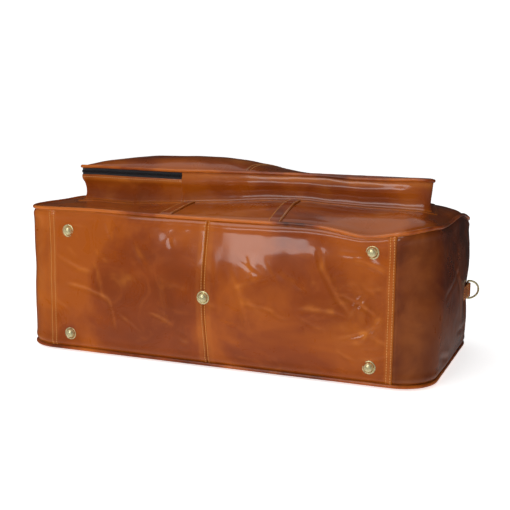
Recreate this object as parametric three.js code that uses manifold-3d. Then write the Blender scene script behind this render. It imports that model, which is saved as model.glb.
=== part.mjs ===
// A leather duffel bag lying on its back panel, in millimetres.
// +X runs along the bag's length, +Z is up from the floor it lies on, and the base
// with its metal feet faces -Y. The front panel, with the zipped pocket, faces +Z.
// Inside this file y = 0 is the outer face of the base; the group is moved at the end
// so that the origin is under the centre of the whole bag, on the floor.
import * as THREE from "three";
import { mergeVertices } from "three/addons/utils/BufferGeometryUtils.js";
import Module from "manifold-3d";

const wasm = await Module();
wasm.setup();

// ---- Driving dimensions ----
const GAP = 0.3; // between pieces that touch
const LENGTH = 640; // end to end
const HEIGHT = 325; // base to top, when the bag stands on its feet
const DEPTH = 217; // front to back at the base
const TOP_DROP = 32; // the front panel sinks by this much towards the top
const BASE_RADIUS = 52;
const TOP_RADIUS = 60;
const LEATHER = 2.4;
const STRAP = 2.2; // thickness of a sewn strap
const LINING = 0.8;
const BOARD = 3;
const WELT = 4.5; // piping section
const PIPING_HEIGHT = WELT + 1;
const PIPING_PROUD = 0.5; // of the panel it edges
const TUBE_SIDES = 16;
const SEAM_X = 268; // where the base and top meet the end gussets
const CENTRE_SEAM_X = -5.5;

const FOOT_X = 236.5;
const FOOT_Z = 80; // from the middle of the base
const FOOT = {
  flange: 9.75, rim: 1.4, dome: 7, seat: 2, shank: 2, tip: 2.5, height: 7, tail: 9,
};
const FOOT_HOLE = 2.4;
const FOOT_HOLE_DEPTH = 20;
const BOARD_MARGIN = { ends: 8, sides: 16 };
const LINING_LIP = 4; // the lining stands this far inside the mouth's long edges
const WASHER = { radius: 9, thickness: 1.2 };

const STRAP_X = 85; // each side of the middle of the pair
const STRAP_SHIFT = 9; // the pair sits this far right of the bag's middle
const STRAP_WIDTH = 20;
const STRAP_START = 2;
const STRAP_END = HEIGHT + 5;
const HANDLE_RADIUS = 7;
const HANDLE_REACH = 150; // hinge line to the far side of the grip
const HANDLE_HINGE_Y = HEIGHT + 6;
const HANDLE_LUG = 34; // length of the flat lugs
const HANDLE_CURVE = [ // inwards from the strap, and out from the hinge line
  [0, 22], [0, 50], [8, 84], [38, 122],
];

const POCKET = { x0: -275, x1: 298, y0: 95, y1: 262, nearRadius: 14, farRadius: 30, top: 283 };
const POCKET_NARROWING = 0.14; // share of the pocket's length lost by its far side
const POCKET_SLOPE = 0.093; // the pocket's face sinks this much per unit towards the mouth
const POCKET_ZIP_START = -91; // on the wall that faces the base
const POCKET_FOLD_END = 217; // the fold of the pocket's lid meets the far edge here
const POCKET_TAPE_END = 248;
const POCKET_FAR_ZONE = 170; // y past which a point belongs to the pocket's far side
const TAPE = { width: 5.1, thickness: 1.4 };

const MOUTH_HALF_LENGTH = 215;
const MOUTH_HALF_WIDTH = 75;
const MOUTH_TAPE = 12.5; // tape showing on each side of the main zip
const SLIDER = { length: 14, width: 10, thickness: 2.6, rest: 228 };
const POCKET_SLIDER_X = 232;
const PULL = { length: 26, width: 8, thickness: 1.6 };
const ZIP_TAB = { inner: 240, outer: 258, half: 16 };

const RING = { wire: 1.6, half: 14.1, reach: 18, y: 266, behind: 14 }; // behind the base's middle
const RING_STANCE = Math.PI / 3; // the rings stand out from the ends by this angle
const CHAPE = { width: 22, y0: 226, loop: 4.2, bore: 2.1, ply: 1.4 };

const FLOOR_BACK = STRAP + GAP; // outer face of the back panel
const BACK_INSIDE = FLOOR_BACK + LEATHER;
const MIDDLE_Z = DEPTH / 2; // middle of the base
const ZIP_Z = (DEPTH - TOP_DROP + FLOOR_BACK) / 2; // middle of the top, where the main zip runs
const FAR = 900; // reach of a cutting block
const ARC_STEPS = 7;

// ---- Colours ----
const FINISH = {
  leather: { color: 0x8a4218, roughness: 0.32, metalness: 0 },
  strap: { color: 0x7c3914, roughness: 0.34, metalness: 0 },
  piping: { color: 0x6d3010, roughness: 0.36, metalness: 0 },
  lining: { color: 0x3a2a20, roughness: 0.9, metalness: 0 },
  board: { color: 0x5b4a3a, roughness: 0.9, metalness: 0 },
  tape: { color: 0x232327, roughness: 0.85, metalness: 0 },
  brass: { color: 0xd8cc90, roughness: 0.22, metalness: 1 },
};

// ---- Solids: three.js geometry in, joined and cut solid out ----
function toSolid(geometry) {
  const plain = geometry.clone();
  plain.deleteAttribute("normal");
  plain.deleteAttribute("uv");
  const merged = mergeVertices(plain, 1e-4);
  return new wasm.Manifold(new wasm.Mesh({
    numProp: 3,
    vertProperties: new Float32Array(merged.attributes.position.array),
    triVerts: new Uint32Array(merged.index.array),
  }));
}

function toGeometry(solid) {
  const mesh = solid.getMesh();
  const geometry = new THREE.BufferGeometry();
  geometry.setAttribute("position", new THREE.BufferAttribute(mesh.vertProperties, 3));
  geometry.setIndex(new THREE.BufferAttribute(mesh.triVerts, 1));
  geometry.computeVertexNormals();
  return geometry;
}

function block(x0, x1, y0, y1, z0, z1) {
  const geometry = new THREE.BoxGeometry(x1 - x0, y1 - y0, z1 - z0);
  geometry.translate((x0 + x1) / 2, (y0 + y1) / 2, (z0 + z1) / 2);
  return toSolid(geometry);
}

function common(first, ...others) {
  return others.reduce((solid, other) => solid.intersect(other), first);
}

function cut(first, ...others) {
  return others.reduce((solid, other) => solid.subtract(other), first);
}

function join(first, ...others) {
  return others.reduce((solid, other) => solid.add(other), first);
}

// ---- Outlines in plan (x along the bag, y from base to top) ----
function roundedOutline(x0, x1, y0, y1, lowRadius, highRadius, grow = 0) {
  const low = lowRadius + grow;
  const high = highRadius + grow;
  const [left, right, base, top] = [x0 - grow, x1 + grow, y0 - grow, y1 + grow];
  const shape = new THREE.Shape();
  shape.moveTo(left + low, base);
  shape.lineTo(right - low, base);
  shape.absarc(right - low, base + low, low, -Math.PI / 2, 0, false);
  shape.lineTo(right, top - high);
  shape.absarc(right - high, top - high, high, 0, Math.PI / 2, false);
  shape.lineTo(left + high, top);
  shape.absarc(left + high, top - high, high, Math.PI / 2, Math.PI, false);
  shape.lineTo(left, base + low);
  shape.absarc(left + low, base + low, low, Math.PI, 1.5 * Math.PI, false);
  return shape;
}

function bagOutline(grow) {
  return roundedOutline(-LENGTH / 2, LENGTH / 2, 0, HEIGHT, BASE_RADIUS, TOP_RADIUS, grow);
}

function pocketOutline(grow) {
  const { x0, x1, y0, y1, nearRadius, farRadius } = POCKET;
  return roundedOutline(x0, x1, y0, y1, nearRadius, farRadius, grow);
}

function upright(shape, z0, z1) {
  const geometry = new THREE.ExtrudeGeometry(shape, {
    depth: z1 - z0, bevelEnabled: false, curveSegments: ARC_STEPS,
  });
  geometry.translate(0, 0, z0);
  return toSolid(geometry);
}

function band(outline, outer, inner, z0, z1) {
  return cut(upright(outline(outer), z0, z1), upright(outline(inner), z0 - 1, z1 + 1));
}

// ---- The front panel's profile: level over the base, sinking towards the top ----
const frontCurve = new THREE.SplineCurve([
  new THREE.Vector2(-20, DEPTH),
  new THREE.Vector2(60, DEPTH),
  new THREE.Vector2(150, DEPTH - 0.5),
  new THREE.Vector2(215, DEPTH - 0.12 * TOP_DROP),
  new THREE.Vector2(270, DEPTH - 0.42 * TOP_DROP),
  new THREE.Vector2(HEIGHT, DEPTH - 0.92 * TOP_DROP),
  new THREE.Vector2(HEIGHT + 30, DEPTH - 1.1 * TOP_DROP),
]);
const FRONT_STEPS = 14;

function frontHeight(y) {
  const points = frontCurve.getPoints(FRONT_STEPS);
  const index = Math.max(1, points.findIndex((point) => point.x >= y));
  const [a, b] = [points[index - 1], points[index]];
  return a.y + ((b.y - a.y) * (y - a.x)) / (b.x - a.x);
}

function along(shape, x0, x1) {
  // a profile drawn in (y, z), carried along X
  const geometry = new THREE.ExtrudeGeometry(shape, { depth: x1 - x0, bevelEnabled: false });
  geometry.applyMatrix4(new THREE.Matrix4().makeBasis(
    new THREE.Vector3(0, 1, 0), new THREE.Vector3(0, 0, 1), new THREE.Vector3(1, 0, 0),
  ));
  geometry.translate(x0, 0, 0);
  return toSolid(geometry);
}

function belowFront(lift) {
  const points = frontCurve.getPoints(FRONT_STEPS);
  const shape = new THREE.Shape();
  shape.moveTo(points[0].x, -FAR);
  points.slice().reverse().forEach((point, index) => {
    if (index === 0) shape.lineTo(point.x, -FAR);
    shape.lineTo(point.x, point.y + lift);
  });
  return along(shape, -FAR, FAR);
}

function frontSheet(low, high) {
  return cut(belowFront(high), belowFront(low));
}

// ---- The assembly ----
const bag = new THREE.Group();

function add(name, finish, solid) {
  const material = new THREE.MeshStandardMaterial(FINISH[finish]);
  const mesh = new THREE.Mesh(toGeometry(solid), material);
  mesh.name = name;
  bag.add(mesh);
  return solid;
}

// Feet: domed studs through the base panel and board, each held by a washer inside.
const footPlaces = [
  ["lower_left", -FOOT_X, MIDDLE_Z - FOOT_Z],
  ["lower_right", FOOT_X, MIDDLE_Z - FOOT_Z],
  ["upper_left", -FOOT_X, MIDDLE_Z + FOOT_Z],
  ["upper_right", FOOT_X, MIDDLE_Z + FOOT_Z],
  ["centre", CENTRE_SEAM_X, MIDDLE_Z],
];

function footSolid(x, z) {
  const { flange, rim, dome, seat, shank, tip, height, tail } = FOOT;
  const profile = [
    [0, -tail], [shank, -tail], [shank, GAP], [flange, GAP], [flange, rim], [dome, seat],
  ];
  const bulge = new THREE.EllipseCurve(tip, seat, dome - tip, height - seat, 0, Math.PI / 2);
  bulge.getPoints(5).slice(1).forEach((point) => profile.push([point.x, point.y]));
  profile.push([0, height]);
  const geometry = new THREE.LatheGeometry(profile.map(([r, h]) => new THREE.Vector2(r, h)), 20);
  geometry.rotateX(Math.PI);
  geometry.translate(x, 0, z);
  return toSolid(geometry);
}

function rod(radius, y0, y1, x, z) {
  const geometry = new THREE.CylinderGeometry(radius, radius, y1 - y0, TUBE_SIDES);
  geometry.translate(x, (y0 + y1) / 2, z);
  return toSolid(geometry);
}

const footHoles = footPlaces.map(([, x, z]) => rod(FOOT_HOLE, -1, FOOT_HOLE_DEPTH, x, z));
const boardInside = LEATHER + GAP + BOARD;
footPlaces.forEach(([name, x, z]) => {
  add(`foot_${name}`, "brass", footSolid(x, z));
  const low = boardInside + GAP;
  const disc = rod(WASHER.radius, low, low + WASHER.thickness, x, z);
  add(`foot_washer_${name}`, "brass", cut(disc, rod(FOOT_HOLE, 0, FOOT_HOLE_DEPTH, x, z)));
});

// Gusset: base, end and top panels round the bag, between the back and front panels.
const gussetLow = FLOOR_BACK + PIPING_HEIGHT + GAP;
const gusset = common(
  band(bagOutline, 0, -LEATHER, gussetLow, FAR / 2),
  belowFront(-PIPING_HEIGHT - GAP),
);
const middle = HEIGHT / 2;
const baseZone = (x0, x1) => block(x0, x1, -10, middle, -10, FAR);
add("base_panel_left", "leather", cut(
  common(gusset, baseZone(-SEAM_X, CENTRE_SEAM_X - GAP / 2)), ...footHoles));
add("base_panel_right", "leather", cut(
  common(gusset, baseZone(CENTRE_SEAM_X + GAP / 2, SEAM_X)), ...footHoles));
add("end_gusset_left", "leather", common(
  gusset, block(-FAR, -SEAM_X - GAP, -FAR, FAR, -FAR, FAR)));
add("end_gusset_right", "leather", common(
  gusset, block(SEAM_X + GAP, FAR, -FAR, FAR, -FAR, FAR)));
add("base_board", "board", cut(
  block(BOARD_MARGIN.ends - SEAM_X, SEAM_X - BOARD_MARGIN.ends, LEATHER + GAP, boardInside,
    BOARD_MARGIN.sides, DEPTH - BOARD_MARGIN.sides), ...footHoles));

// Top: fixed leather round the mouth, and two halves that fold outwards from it.
const topZone = (x0, x1, z0, z1) => common(gusset, block(x0, x1, middle, FAR, z0, z1));
const mouthLow = ZIP_Z - MOUTH_HALF_WIDTH;
const mouthHigh = ZIP_Z + MOUTH_HALF_WIDTH;
add("top_end_left", "leather", topZone(-SEAM_X, -MOUTH_HALF_LENGTH - GAP, -FAR, FAR));
add("top_end_right", "leather", topZone(MOUTH_HALF_LENGTH + GAP, SEAM_X, -FAR, FAR));
add("top_margin_back", "leather", topZone(
  -MOUTH_HALF_LENGTH, MOUTH_HALF_LENGTH, -FAR, mouthLow - GAP));
add("top_margin_front", "leather", topZone(
  -MOUTH_HALF_LENGTH, MOUTH_HALF_LENGTH, mouthHigh + GAP, FAR));
add("back_mouth_flap", "leather", topZone(
  -MOUTH_HALF_LENGTH, MOUTH_HALF_LENGTH, mouthLow, ZIP_Z - MOUTH_TAPE - GAP));
add("front_mouth_flap", "leather", topZone(
  -MOUTH_HALF_LENGTH, MOUTH_HALF_LENGTH, ZIP_Z + MOUTH_TAPE + GAP, mouthHigh));
const tapeSheet = (z0, z1) => block(
  -MOUTH_HALF_LENGTH, MOUTH_HALF_LENGTH, HEIGHT - LEATHER / 2 - TAPE.thickness, HEIGHT, z0, z1);
add("back_zip_tape", "tape", tapeSheet(ZIP_Z - MOUTH_TAPE, ZIP_Z - GAP / 2));
add("front_zip_tape", "tape", tapeSheet(ZIP_Z + GAP / 2, ZIP_Z + MOUTH_TAPE));
[["left", -1], ["right", 1]].forEach(([side, sign]) => {
  const [a, b] = [sign * ZIP_TAB.inner, sign * ZIP_TAB.outer].sort((p, q) => p - q);
  add(`zip_end_tab_${side}`, "strap", block(
    a, b, HEIGHT + GAP, HEIGHT + GAP + STRAP, ZIP_Z - ZIP_TAB.half, ZIP_Z + ZIP_TAB.half));
});

// Front and back panels, with piping round each.
const panelEdge = -WELT / 2 - GAP;
add("back_panel", "leather", upright(bagOutline(panelEdge), FLOOR_BACK, BACK_INSIDE));
add("front_panel", "leather", common(
  upright(bagOutline(panelEdge), -FAR, FAR), frontSheet(-LEATHER, 0)));
add("back_piping", "piping", band(
  bagOutline, WELT / 2, -WELT / 2, FLOOR_BACK, FLOOR_BACK + PIPING_HEIGHT));
add("front_piping", "piping", common(
  band(bagOutline, WELT / 2, -WELT / 2, 0, FAR / 2), frontSheet(-PIPING_HEIGHT, PIPING_PROUD)));

// Lining: a fabric bag inside the leather, open under the mouth.
const liningSpace = boardInside + FOOT.tail - LEATHER;
const liningOuter = common(
  upright(roundedOutline(-LENGTH / 2, LENGTH / 2, liningSpace - LEATHER, HEIGHT,
    BASE_RADIUS, TOP_RADIUS, -LEATHER - 1), BACK_INSIDE + 1, FAR / 2),
  belowFront(-LEATHER - 1 - WELT));
const liningInner = common(
  upright(roundedOutline(-LENGTH / 2, LENGTH / 2, liningSpace - LEATHER, HEIGHT,
    BASE_RADIUS, TOP_RADIUS, -LEATHER - 1 - LINING), BACK_INSIDE + 1 + LINING, FAR / 2),
  belowFront(-LEATHER - 1 - WELT - LINING));
const mouthWay = block(
  -MOUTH_HALF_LENGTH, MOUTH_HALF_LENGTH, middle, FAR, mouthLow + LINING_LIP, mouthHigh - LINING_LIP);
add("lining", "lining", cut(liningOuter, liningInner, mouthWay));

// Straps sewn flat to the front and back panels, from the base to the handles.
const strapEnds = [STRAP_START, STRAP_END];
const strapBlock = (sign, grow) => block(
  STRAP_SHIFT + sign * STRAP_X - STRAP_WIDTH / 2 - grow,
  STRAP_SHIFT + sign * STRAP_X + STRAP_WIDTH / 2 + grow,
  strapEnds[0] - grow, strapEnds[1] + grow, -FAR, FAR);
const frontStraps = [-1, 1].map((sign) => common(
  strapBlock(sign, 0), frontSheet(PIPING_PROUD + GAP, PIPING_PROUD + GAP + STRAP)));
add("front_strap_left", "strap", frontStraps[0]);
add("front_strap_right", "strap", frontStraps[1]);
[["left", -1], ["right", 1]].forEach(([side, sign]) => {
  add(`back_strap_${side}`, "strap", common(
    strapBlock(sign, 0), block(-FAR, FAR, -FAR, FAR, 0, STRAP)));
});

// Rolled handles: flat lugs at the straps, then a round grip in one loop.
function handleSolid(hingeZ, gripZ) {
  const half = (sign) => HANDLE_CURVE.map(([inwards, reach]) => [sign * (STRAP_X - inwards), reach]);
  const path = new THREE.CatmullRomCurve3([
    ...half(-1), [0, HANDLE_REACH - HANDLE_RADIUS], ...half(1).reverse(),
  ].map(([x, reach]) => new THREE.Vector3(x + STRAP_SHIFT, HANDLE_HINGE_Y + reach, gripZ)));
  const section = new THREE.Shape();
  section.absarc(0, 0, HANDLE_RADIUS, 0, 2 * Math.PI, false);
  const grip = toSolid(new THREE.ExtrudeGeometry(section, {
    steps: 32, extrudePath: path, bevelEnabled: false, curveSegments: 5,
  }));
  const lugs = [-1, 1].map((sign) => block(
    STRAP_SHIFT + sign * STRAP_X - STRAP_WIDTH / 2,
    STRAP_SHIFT + sign * STRAP_X + STRAP_WIDTH / 2,
    HANDLE_HINGE_Y + 2 * GAP, HANDLE_HINGE_Y + HANDLE_LUG, hingeZ, hingeZ + STRAP));
  return join(grip, ...lugs);
}

const frontLugZ = frontHeight(HANDLE_HINGE_Y) + 1;
add("front_handle", "strap", handleSolid(frontLugZ, frontLugZ + HANDLE_RADIUS));
add("back_handle", "strap", handleSolid(0, HANDLE_RADIUS));

// D-rings in leather chapes on both ends.
const ringZ = MIDDLE_Z - RING.behind;

function ringSolid(sign) {
  const x = sign * (LENGTH / 2 + GAP + CHAPE.loop);
  const section = new THREE.Shape();
  section.absarc(0, 0, RING.wire, 0, 2 * Math.PI, false);
  const bow = new THREE.EllipseCurve(0, 0, RING.half, RING.reach, 0, Math.PI);
  const path = new THREE.CatmullRomCurve3(bow.getPoints(12).map(
    (point) => new THREE.Vector3(x + sign * point.y * Math.sin(RING_STANCE),
      RING.y + point.y * Math.cos(RING_STANCE), ringZ + point.x)));
  const arc = toSolid(new THREE.ExtrudeGeometry(section, {
    steps: 16, extrudePath: path, bevelEnabled: false, curveSegments: 4,
  }));
  const bar = new THREE.CylinderGeometry(RING.wire, RING.wire, 2 * RING.half + RING.wire, 10);
  bar.rotateX(Math.PI / 2);
  bar.translate(x, RING.y, ringZ);
  return join(arc, toSolid(bar));
}

function chapeSolid(sign) {
  const x = sign * (LENGTH / 2 + GAP + CHAPE.loop);
  const z0 = ringZ - CHAPE.width / 2;
  const roll = (radius, grow) => {
    const geometry = new THREE.CylinderGeometry(radius, radius, CHAPE.width + grow, TUBE_SIDES);
    geometry.rotateX(Math.PI / 2);
    geometry.translate(x, RING.y, ringZ);
    return toSolid(geometry);
  };
  const inner = sign * (LENGTH / 2 + GAP);
  const outer = inner + sign * 2 * CHAPE.ply;
  const plate = block(Math.min(inner, outer), Math.max(inner, outer), CHAPE.y0, RING.y,
    z0, z0 + CHAPE.width);
  return cut(join(plate, roll(CHAPE.loop, 0)), roll(CHAPE.bore, 2));
}

[["left", -1], ["right", 1]].forEach(([side, sign]) => {
  add(`d_ring_chape_${side}`, "strap", chapeSolid(sign));
  add(`d_ring_${side}`, "brass", ringSolid(sign));
});

// Front pocket: a box of leather walls on the front panel, with a lid of which one corner
// lifts. The zip runs from the middle of the near wall, round the left end and along the far wall.
function lean(solid) {
  // draws the pocket's ends in and lowers its face towards the mouth
  const middle = (POCKET.x0 + POCKET.x1) / 2;
  return solid.warp((point) => {
    const run = point[1] - POCKET.y0;
    point[0] += ((middle - point[0]) * POCKET_NARROWING * run) / (POCKET.y1 - POCKET.y0);
    point[2] -= run * POCKET_SLOPE;
  });
}

const foldStart = new THREE.Vector2(POCKET_ZIP_START, POCKET.y0);
const foldEnd = new THREE.Vector2(POCKET_FOLD_END, POCKET.y1);
const foldDirection = foldEnd.clone().sub(foldStart).normalize();

function lidSide(gap) {
  // everything on the zip's side of the fold, from the fold line outwards
  const across = new THREE.Vector2(-foldDirection.y, foldDirection.x);
  const shape = new THREE.Shape([
    [-FAR, gap], [FAR, gap], [FAR, FAR], [-FAR, FAR],
  ].map(([run, step]) => foldStart.clone()
    .addScaledVector(foldDirection, run).addScaledVector(across, step)));
  return upright(shape, -FAR, FAR);
}

const pocketRim = POCKET.top - PIPING_HEIGHT;
const strapWays = [-1, 1].map((sign) => strapBlock(sign, GAP));
const strapClearance = common(join(...strapWays), belowFront(PIPING_PROUD + STRAP + 2 * GAP));
const wallTo = (top) => cut(
  lean(band(pocketOutline, 0, -LEATHER, 0, top)), belowFront(GAP), strapClearance);
const plainZone = join(
  block(POCKET_ZIP_START + GAP / 2, FAR, -FAR, POCKET_FAR_ZONE, -FAR, FAR),
  block(POCKET_TAPE_END + GAP, FAR, POCKET_FAR_ZONE - 1, FAR, -FAR, FAR));
const zippedZone = join(
  block(-FAR, POCKET_ZIP_START - GAP / 2, -FAR, POCKET_FAR_ZONE, -FAR, FAR),
  block(-FAR, POCKET_TAPE_END, POCKET_FAR_ZONE - 1, FAR, -FAR, FAR));
const zipLow = pocketRim - GAP - 2 * TAPE.width - GAP;
add("pocket_wall_plain", "leather", common(wallTo(pocketRim - GAP), plainZone));
add("pocket_wall_zipped", "leather", common(wallTo(zipLow - GAP), zippedZone));
const tapeFrom = (low) => common(
  lean(band(pocketOutline, -0.5, -0.5 - TAPE.thickness, low, low + TAPE.width)), zippedZone);
const upperTape = tapeFrom(zipLow + TAPE.width + GAP);
add("pocket_tape_lower", "tape", tapeFrom(zipLow));
add("pocket_tape_upper", "tape", common(
  upperTape, lidSide(0), block(-FAR, POCKET_FOLD_END, -FAR, FAR, -FAR, FAR)));
add("pocket_tape_end", "tape", common(
  upperTape, block(POCKET_FOLD_END + GAP, FAR, -FAR, FAR, -FAR, FAR)));
const lidSheet = lean(upright(pocketOutline(panelEdge), POCKET.top - LEATHER, POCKET.top));
const lidPiping = lean(band(pocketOutline, WELT / 2, -WELT / 2, pocketRim, POCKET.top + PIPING_PROUD));
add("pocket_face", "leather", cut(lidSheet, lidSide(-GAP)));
add("pocket_lid", "leather", common(lidSheet, lidSide(GAP)));
add("pocket_piping", "piping", cut(lidPiping, lidSide(-GAP)));
add("pocket_lid_piping", "piping", common(lidPiping, lidSide(GAP)));

// Zip sliders: a plate with a bridge, and a pull that swings on it.
const BRIDGE = { half: 3.5, height: 4.6, thickness: 1.3 };
const PIVOT = { lift: 3.2, radius: 1.1 };

function sliderSolid(x, y, z) {
  const plate = block(x - SLIDER.length / 2, x + SLIDER.length / 2,
    y, y + SLIDER.thickness, z - SLIDER.width / 2, z + SLIDER.width / 2);
  const cheeks = [-1, 1].map((sign) => block(
    x - BRIDGE.half, x + BRIDGE.half, y, y + SLIDER.thickness + BRIDGE.height,
    z + sign * 4 - BRIDGE.thickness / 2, z + sign * 4 + BRIDGE.thickness / 2));
  const pin = new THREE.CylinderGeometry(PIVOT.radius, PIVOT.radius, 8, 10);
  pin.rotateX(Math.PI / 2);
  pin.translate(x, y + SLIDER.thickness + PIVOT.lift, z);
  return join(plate, ...cheeks, toSolid(pin));
}

function pullSolid(x, y, z, sign) {
  // an eye round the slider's pin, then a flat tongue reaching along X
  const level = y + SLIDER.thickness + PIVOT.lift;
  const disc = (radius, width) => {
    const geometry = new THREE.CylinderGeometry(radius, radius, width, 14);
    geometry.rotateX(Math.PI / 2);
    geometry.translate(x, level, z);
    return toSolid(geometry);
  };
  const ends = [x, x + sign * PULL.length].sort((a, b) => a - b);
  const tongue = block(ends[0], ends[1], level - PULL.thickness / 2,
    level + PULL.thickness / 2, z - PULL.width / 3, z + PULL.width / 3);
  return cut(join(tongue, disc(2.4, (2 * PULL.width) / 3)), disc(PIVOT.radius + 0.4, 20));
}

const sliderY = HEIGHT + GAP;
add("main_slider", "brass", sliderSolid(-SLIDER.rest, sliderY, ZIP_Z));
add("main_zip_pull", "brass", pullSolid(-SLIDER.rest, sliderY, ZIP_Z, -1));
const pocketSliderY = POCKET.y1 + GAP;
const pocketZipZ = zipLow + TAPE.width + GAP / 2 - (POCKET.y1 - POCKET.y0) * POCKET_SLOPE;
add("pocket_slider", "brass", sliderSolid(POCKET_SLIDER_X, pocketSliderY, pocketZipZ));
add("pocket_zip_pull", "brass", pullSolid(POCKET_SLIDER_X, pocketSliderY, pocketZipZ, 1));

// The origin goes under the middle of the bag: from the tips of the feet to the far side of the handles.
bag.position.y = -(HANDLE_HINGE_Y + HANDLE_REACH - FOOT.height) / 2;

export default bag;
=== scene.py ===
"""A glossy pull-up leather duffel bag lying on its back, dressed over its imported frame.

Lengths are in metres in the frame's own axes: +X along the bag, the base with its studs faces -Y,
the mouth and the handles face +Y, and the front panel with its pocket faces +Z.
"""
import logging
import math
from dataclasses import dataclass
from enum import Enum
from typing import Callable, Iterable, Optional, Sequence

import bmesh
import bpy
import numpy as np
from mathutils import Matrix, Vector


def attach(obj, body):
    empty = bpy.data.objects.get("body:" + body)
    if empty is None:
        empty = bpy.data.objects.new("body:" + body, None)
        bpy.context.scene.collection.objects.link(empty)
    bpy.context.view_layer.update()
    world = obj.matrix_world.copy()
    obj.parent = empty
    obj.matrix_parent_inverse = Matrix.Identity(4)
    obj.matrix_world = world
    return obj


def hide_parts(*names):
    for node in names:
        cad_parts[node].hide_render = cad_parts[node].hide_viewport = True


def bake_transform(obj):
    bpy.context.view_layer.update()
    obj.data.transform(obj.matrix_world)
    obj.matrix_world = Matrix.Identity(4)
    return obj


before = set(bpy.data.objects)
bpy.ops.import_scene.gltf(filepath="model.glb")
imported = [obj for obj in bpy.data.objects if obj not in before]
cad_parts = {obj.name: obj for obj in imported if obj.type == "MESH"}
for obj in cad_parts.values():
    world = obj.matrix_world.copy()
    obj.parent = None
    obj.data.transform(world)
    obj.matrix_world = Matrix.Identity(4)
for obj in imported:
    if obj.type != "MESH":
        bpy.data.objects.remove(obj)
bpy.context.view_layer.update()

MM = 0.001
LOG = logging.getLogger("duffel")
Array = np.ndarray


# ---------------------------------------------------------------- numbers and noise

def smooth(value: Array, low: float, high: float) -> Array:
    """Goes from 0 at low to 1 at high, with level ends."""
    step = np.clip((np.asarray(value, float) - low) / (high - low), 0, 1)
    return step * step * (3 - 2 * step)


def bump(value: Array, centre: float, width: float) -> Array:
    """A bell of height 1 round centre."""
    return np.exp(-(((np.asarray(value, float) - centre) / width) ** 2))


def raised(plan: Array, height: Array) -> Array:
    """Points (.., 3) from plan points or directions (.., 2) and a height for each."""
    return np.concatenate([plan, np.asarray(height)[..., None]], -1)


def through(x: Array, stations: Sequence[tuple[float, float]], reach: float, steps: int) -> Array:
    """A value given at stations along the bag, with its corners rounded over a reach each way."""
    at, values = zip(*stations)
    shifts = np.linspace(-reach, reach, steps)
    return sum(np.interp(x + shift, at, values) for shift in shifts) / steps


class Cloud:
    """Seeded value noise over space, from -1 to 1."""

    def __init__(self, seed: int, size: int = 24) -> None:
        """Draws the lattice values.

        Args:
            seed: fixes the pattern.
            size: lattice points along each side before it repeats.
        """
        self.size = size
        self.values = np.random.default_rng(seed).uniform(-1, 1, (size, size, size))

    def at(self, points: Array, cell: float) -> Array:
        """Noise at points, with features about one cell across.

        Args:
            points: array of shape (..., 3).
            cell: size of a feature in metres.

        Returns:
            Array of the points' leading shape.
        """
        scaled = np.asarray(points, float) / cell + 7.3
        base = np.floor(scaled).astype(int)
        part = scaled - base
        part = part * part * (3 - 2 * part)
        total = np.zeros(scaled.shape[:-1])
        for corner in np.ndindex(2, 2, 2):
            index = [(base[..., k] + corner[k]) % self.size for k in range(3)]
            weight = np.ones(scaled.shape[:-1])
            for k in range(3):
                weight = weight * (part[..., k] if corner[k] else 1 - part[..., k])
            total += weight * self.values[tuple(index)]
        return total


@dataclass(frozen=True)
class Crease:
    """A fold in a leather panel: a valley with a raised lip on each side.

    Fields start and end are places on the panel, depth and width are sizes across it.
    """

    start: tuple[float, float]
    end: tuple[float, float]
    depth: float
    width: float
    bow: float = 0.0

    def shape(self, u: Array, v: Array) -> tuple[Array, Array]:
        """Height of the fold and how strongly it stretches the leather.

        Args:
            u: first panel coordinate.
            v: second panel coordinate.

        Returns:
            The height in metres, and a stretch from 0 to 1.
        """
        a, b = np.array(self.start), np.array(self.end)
        run = b - a
        length = float(np.hypot(*run))
        along = ((u - a[0]) * run[0] + (v - a[1]) * run[1]) / length**2
        across = ((u - a[0]) * -run[1] + (v - a[1]) * run[0]) / length
        across = across - self.bow * 4 * along * (1 - along)
        window = smooth(along, -0.12, 0.25) * (1 - smooth(along, 0.7, 1.12))
        valley = bump(across, 0, self.width)
        lip = bump(across, 2.0 * self.width, 1.3 * self.width)
        far_lip = bump(across, -2.2 * self.width, 1.6 * self.width)
        height = self.depth * window * (0.75 * lip + 0.45 * far_lip - valley)
        return height, window * np.clip(bump(across, 0.8 * self.width, 1.5 * self.width), 0, 1)


def scatter(seed: int, count: int, low: tuple[float, float], high: tuple[float, float],
            lean: float, length: tuple[float, float]) -> tuple[Crease, ...]:
    """Fine creases strewn over a panel.

    Args:
        seed: fixes the pattern.
        count: how many.
        low: the panel's lowest coordinates.
        high: its highest ones.
        lean: the angle that most of them lie near, in radians.
        length: their shortest and longest.

    Returns:
        The creases.
    """
    draw = np.random.default_rng(seed)
    made = []
    for _ in range(count):
        middle = draw.uniform(low, high)
        angle, reach = draw.normal(lean, 0.5), draw.uniform(*length) / 2
        step = np.array([math.cos(angle), math.sin(angle)]) * reach
        depth, width, bow = (draw.uniform(*span) * MM
                             for span in ((0.12, 0.36), (1.9, 3.4), (-2.5, 2.5)))
        made.append(Crease(tuple(middle - step), tuple(middle + step), depth, width, bow))
    return tuple(made)


# ---------------------------------------------------------------- mesh making

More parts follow.
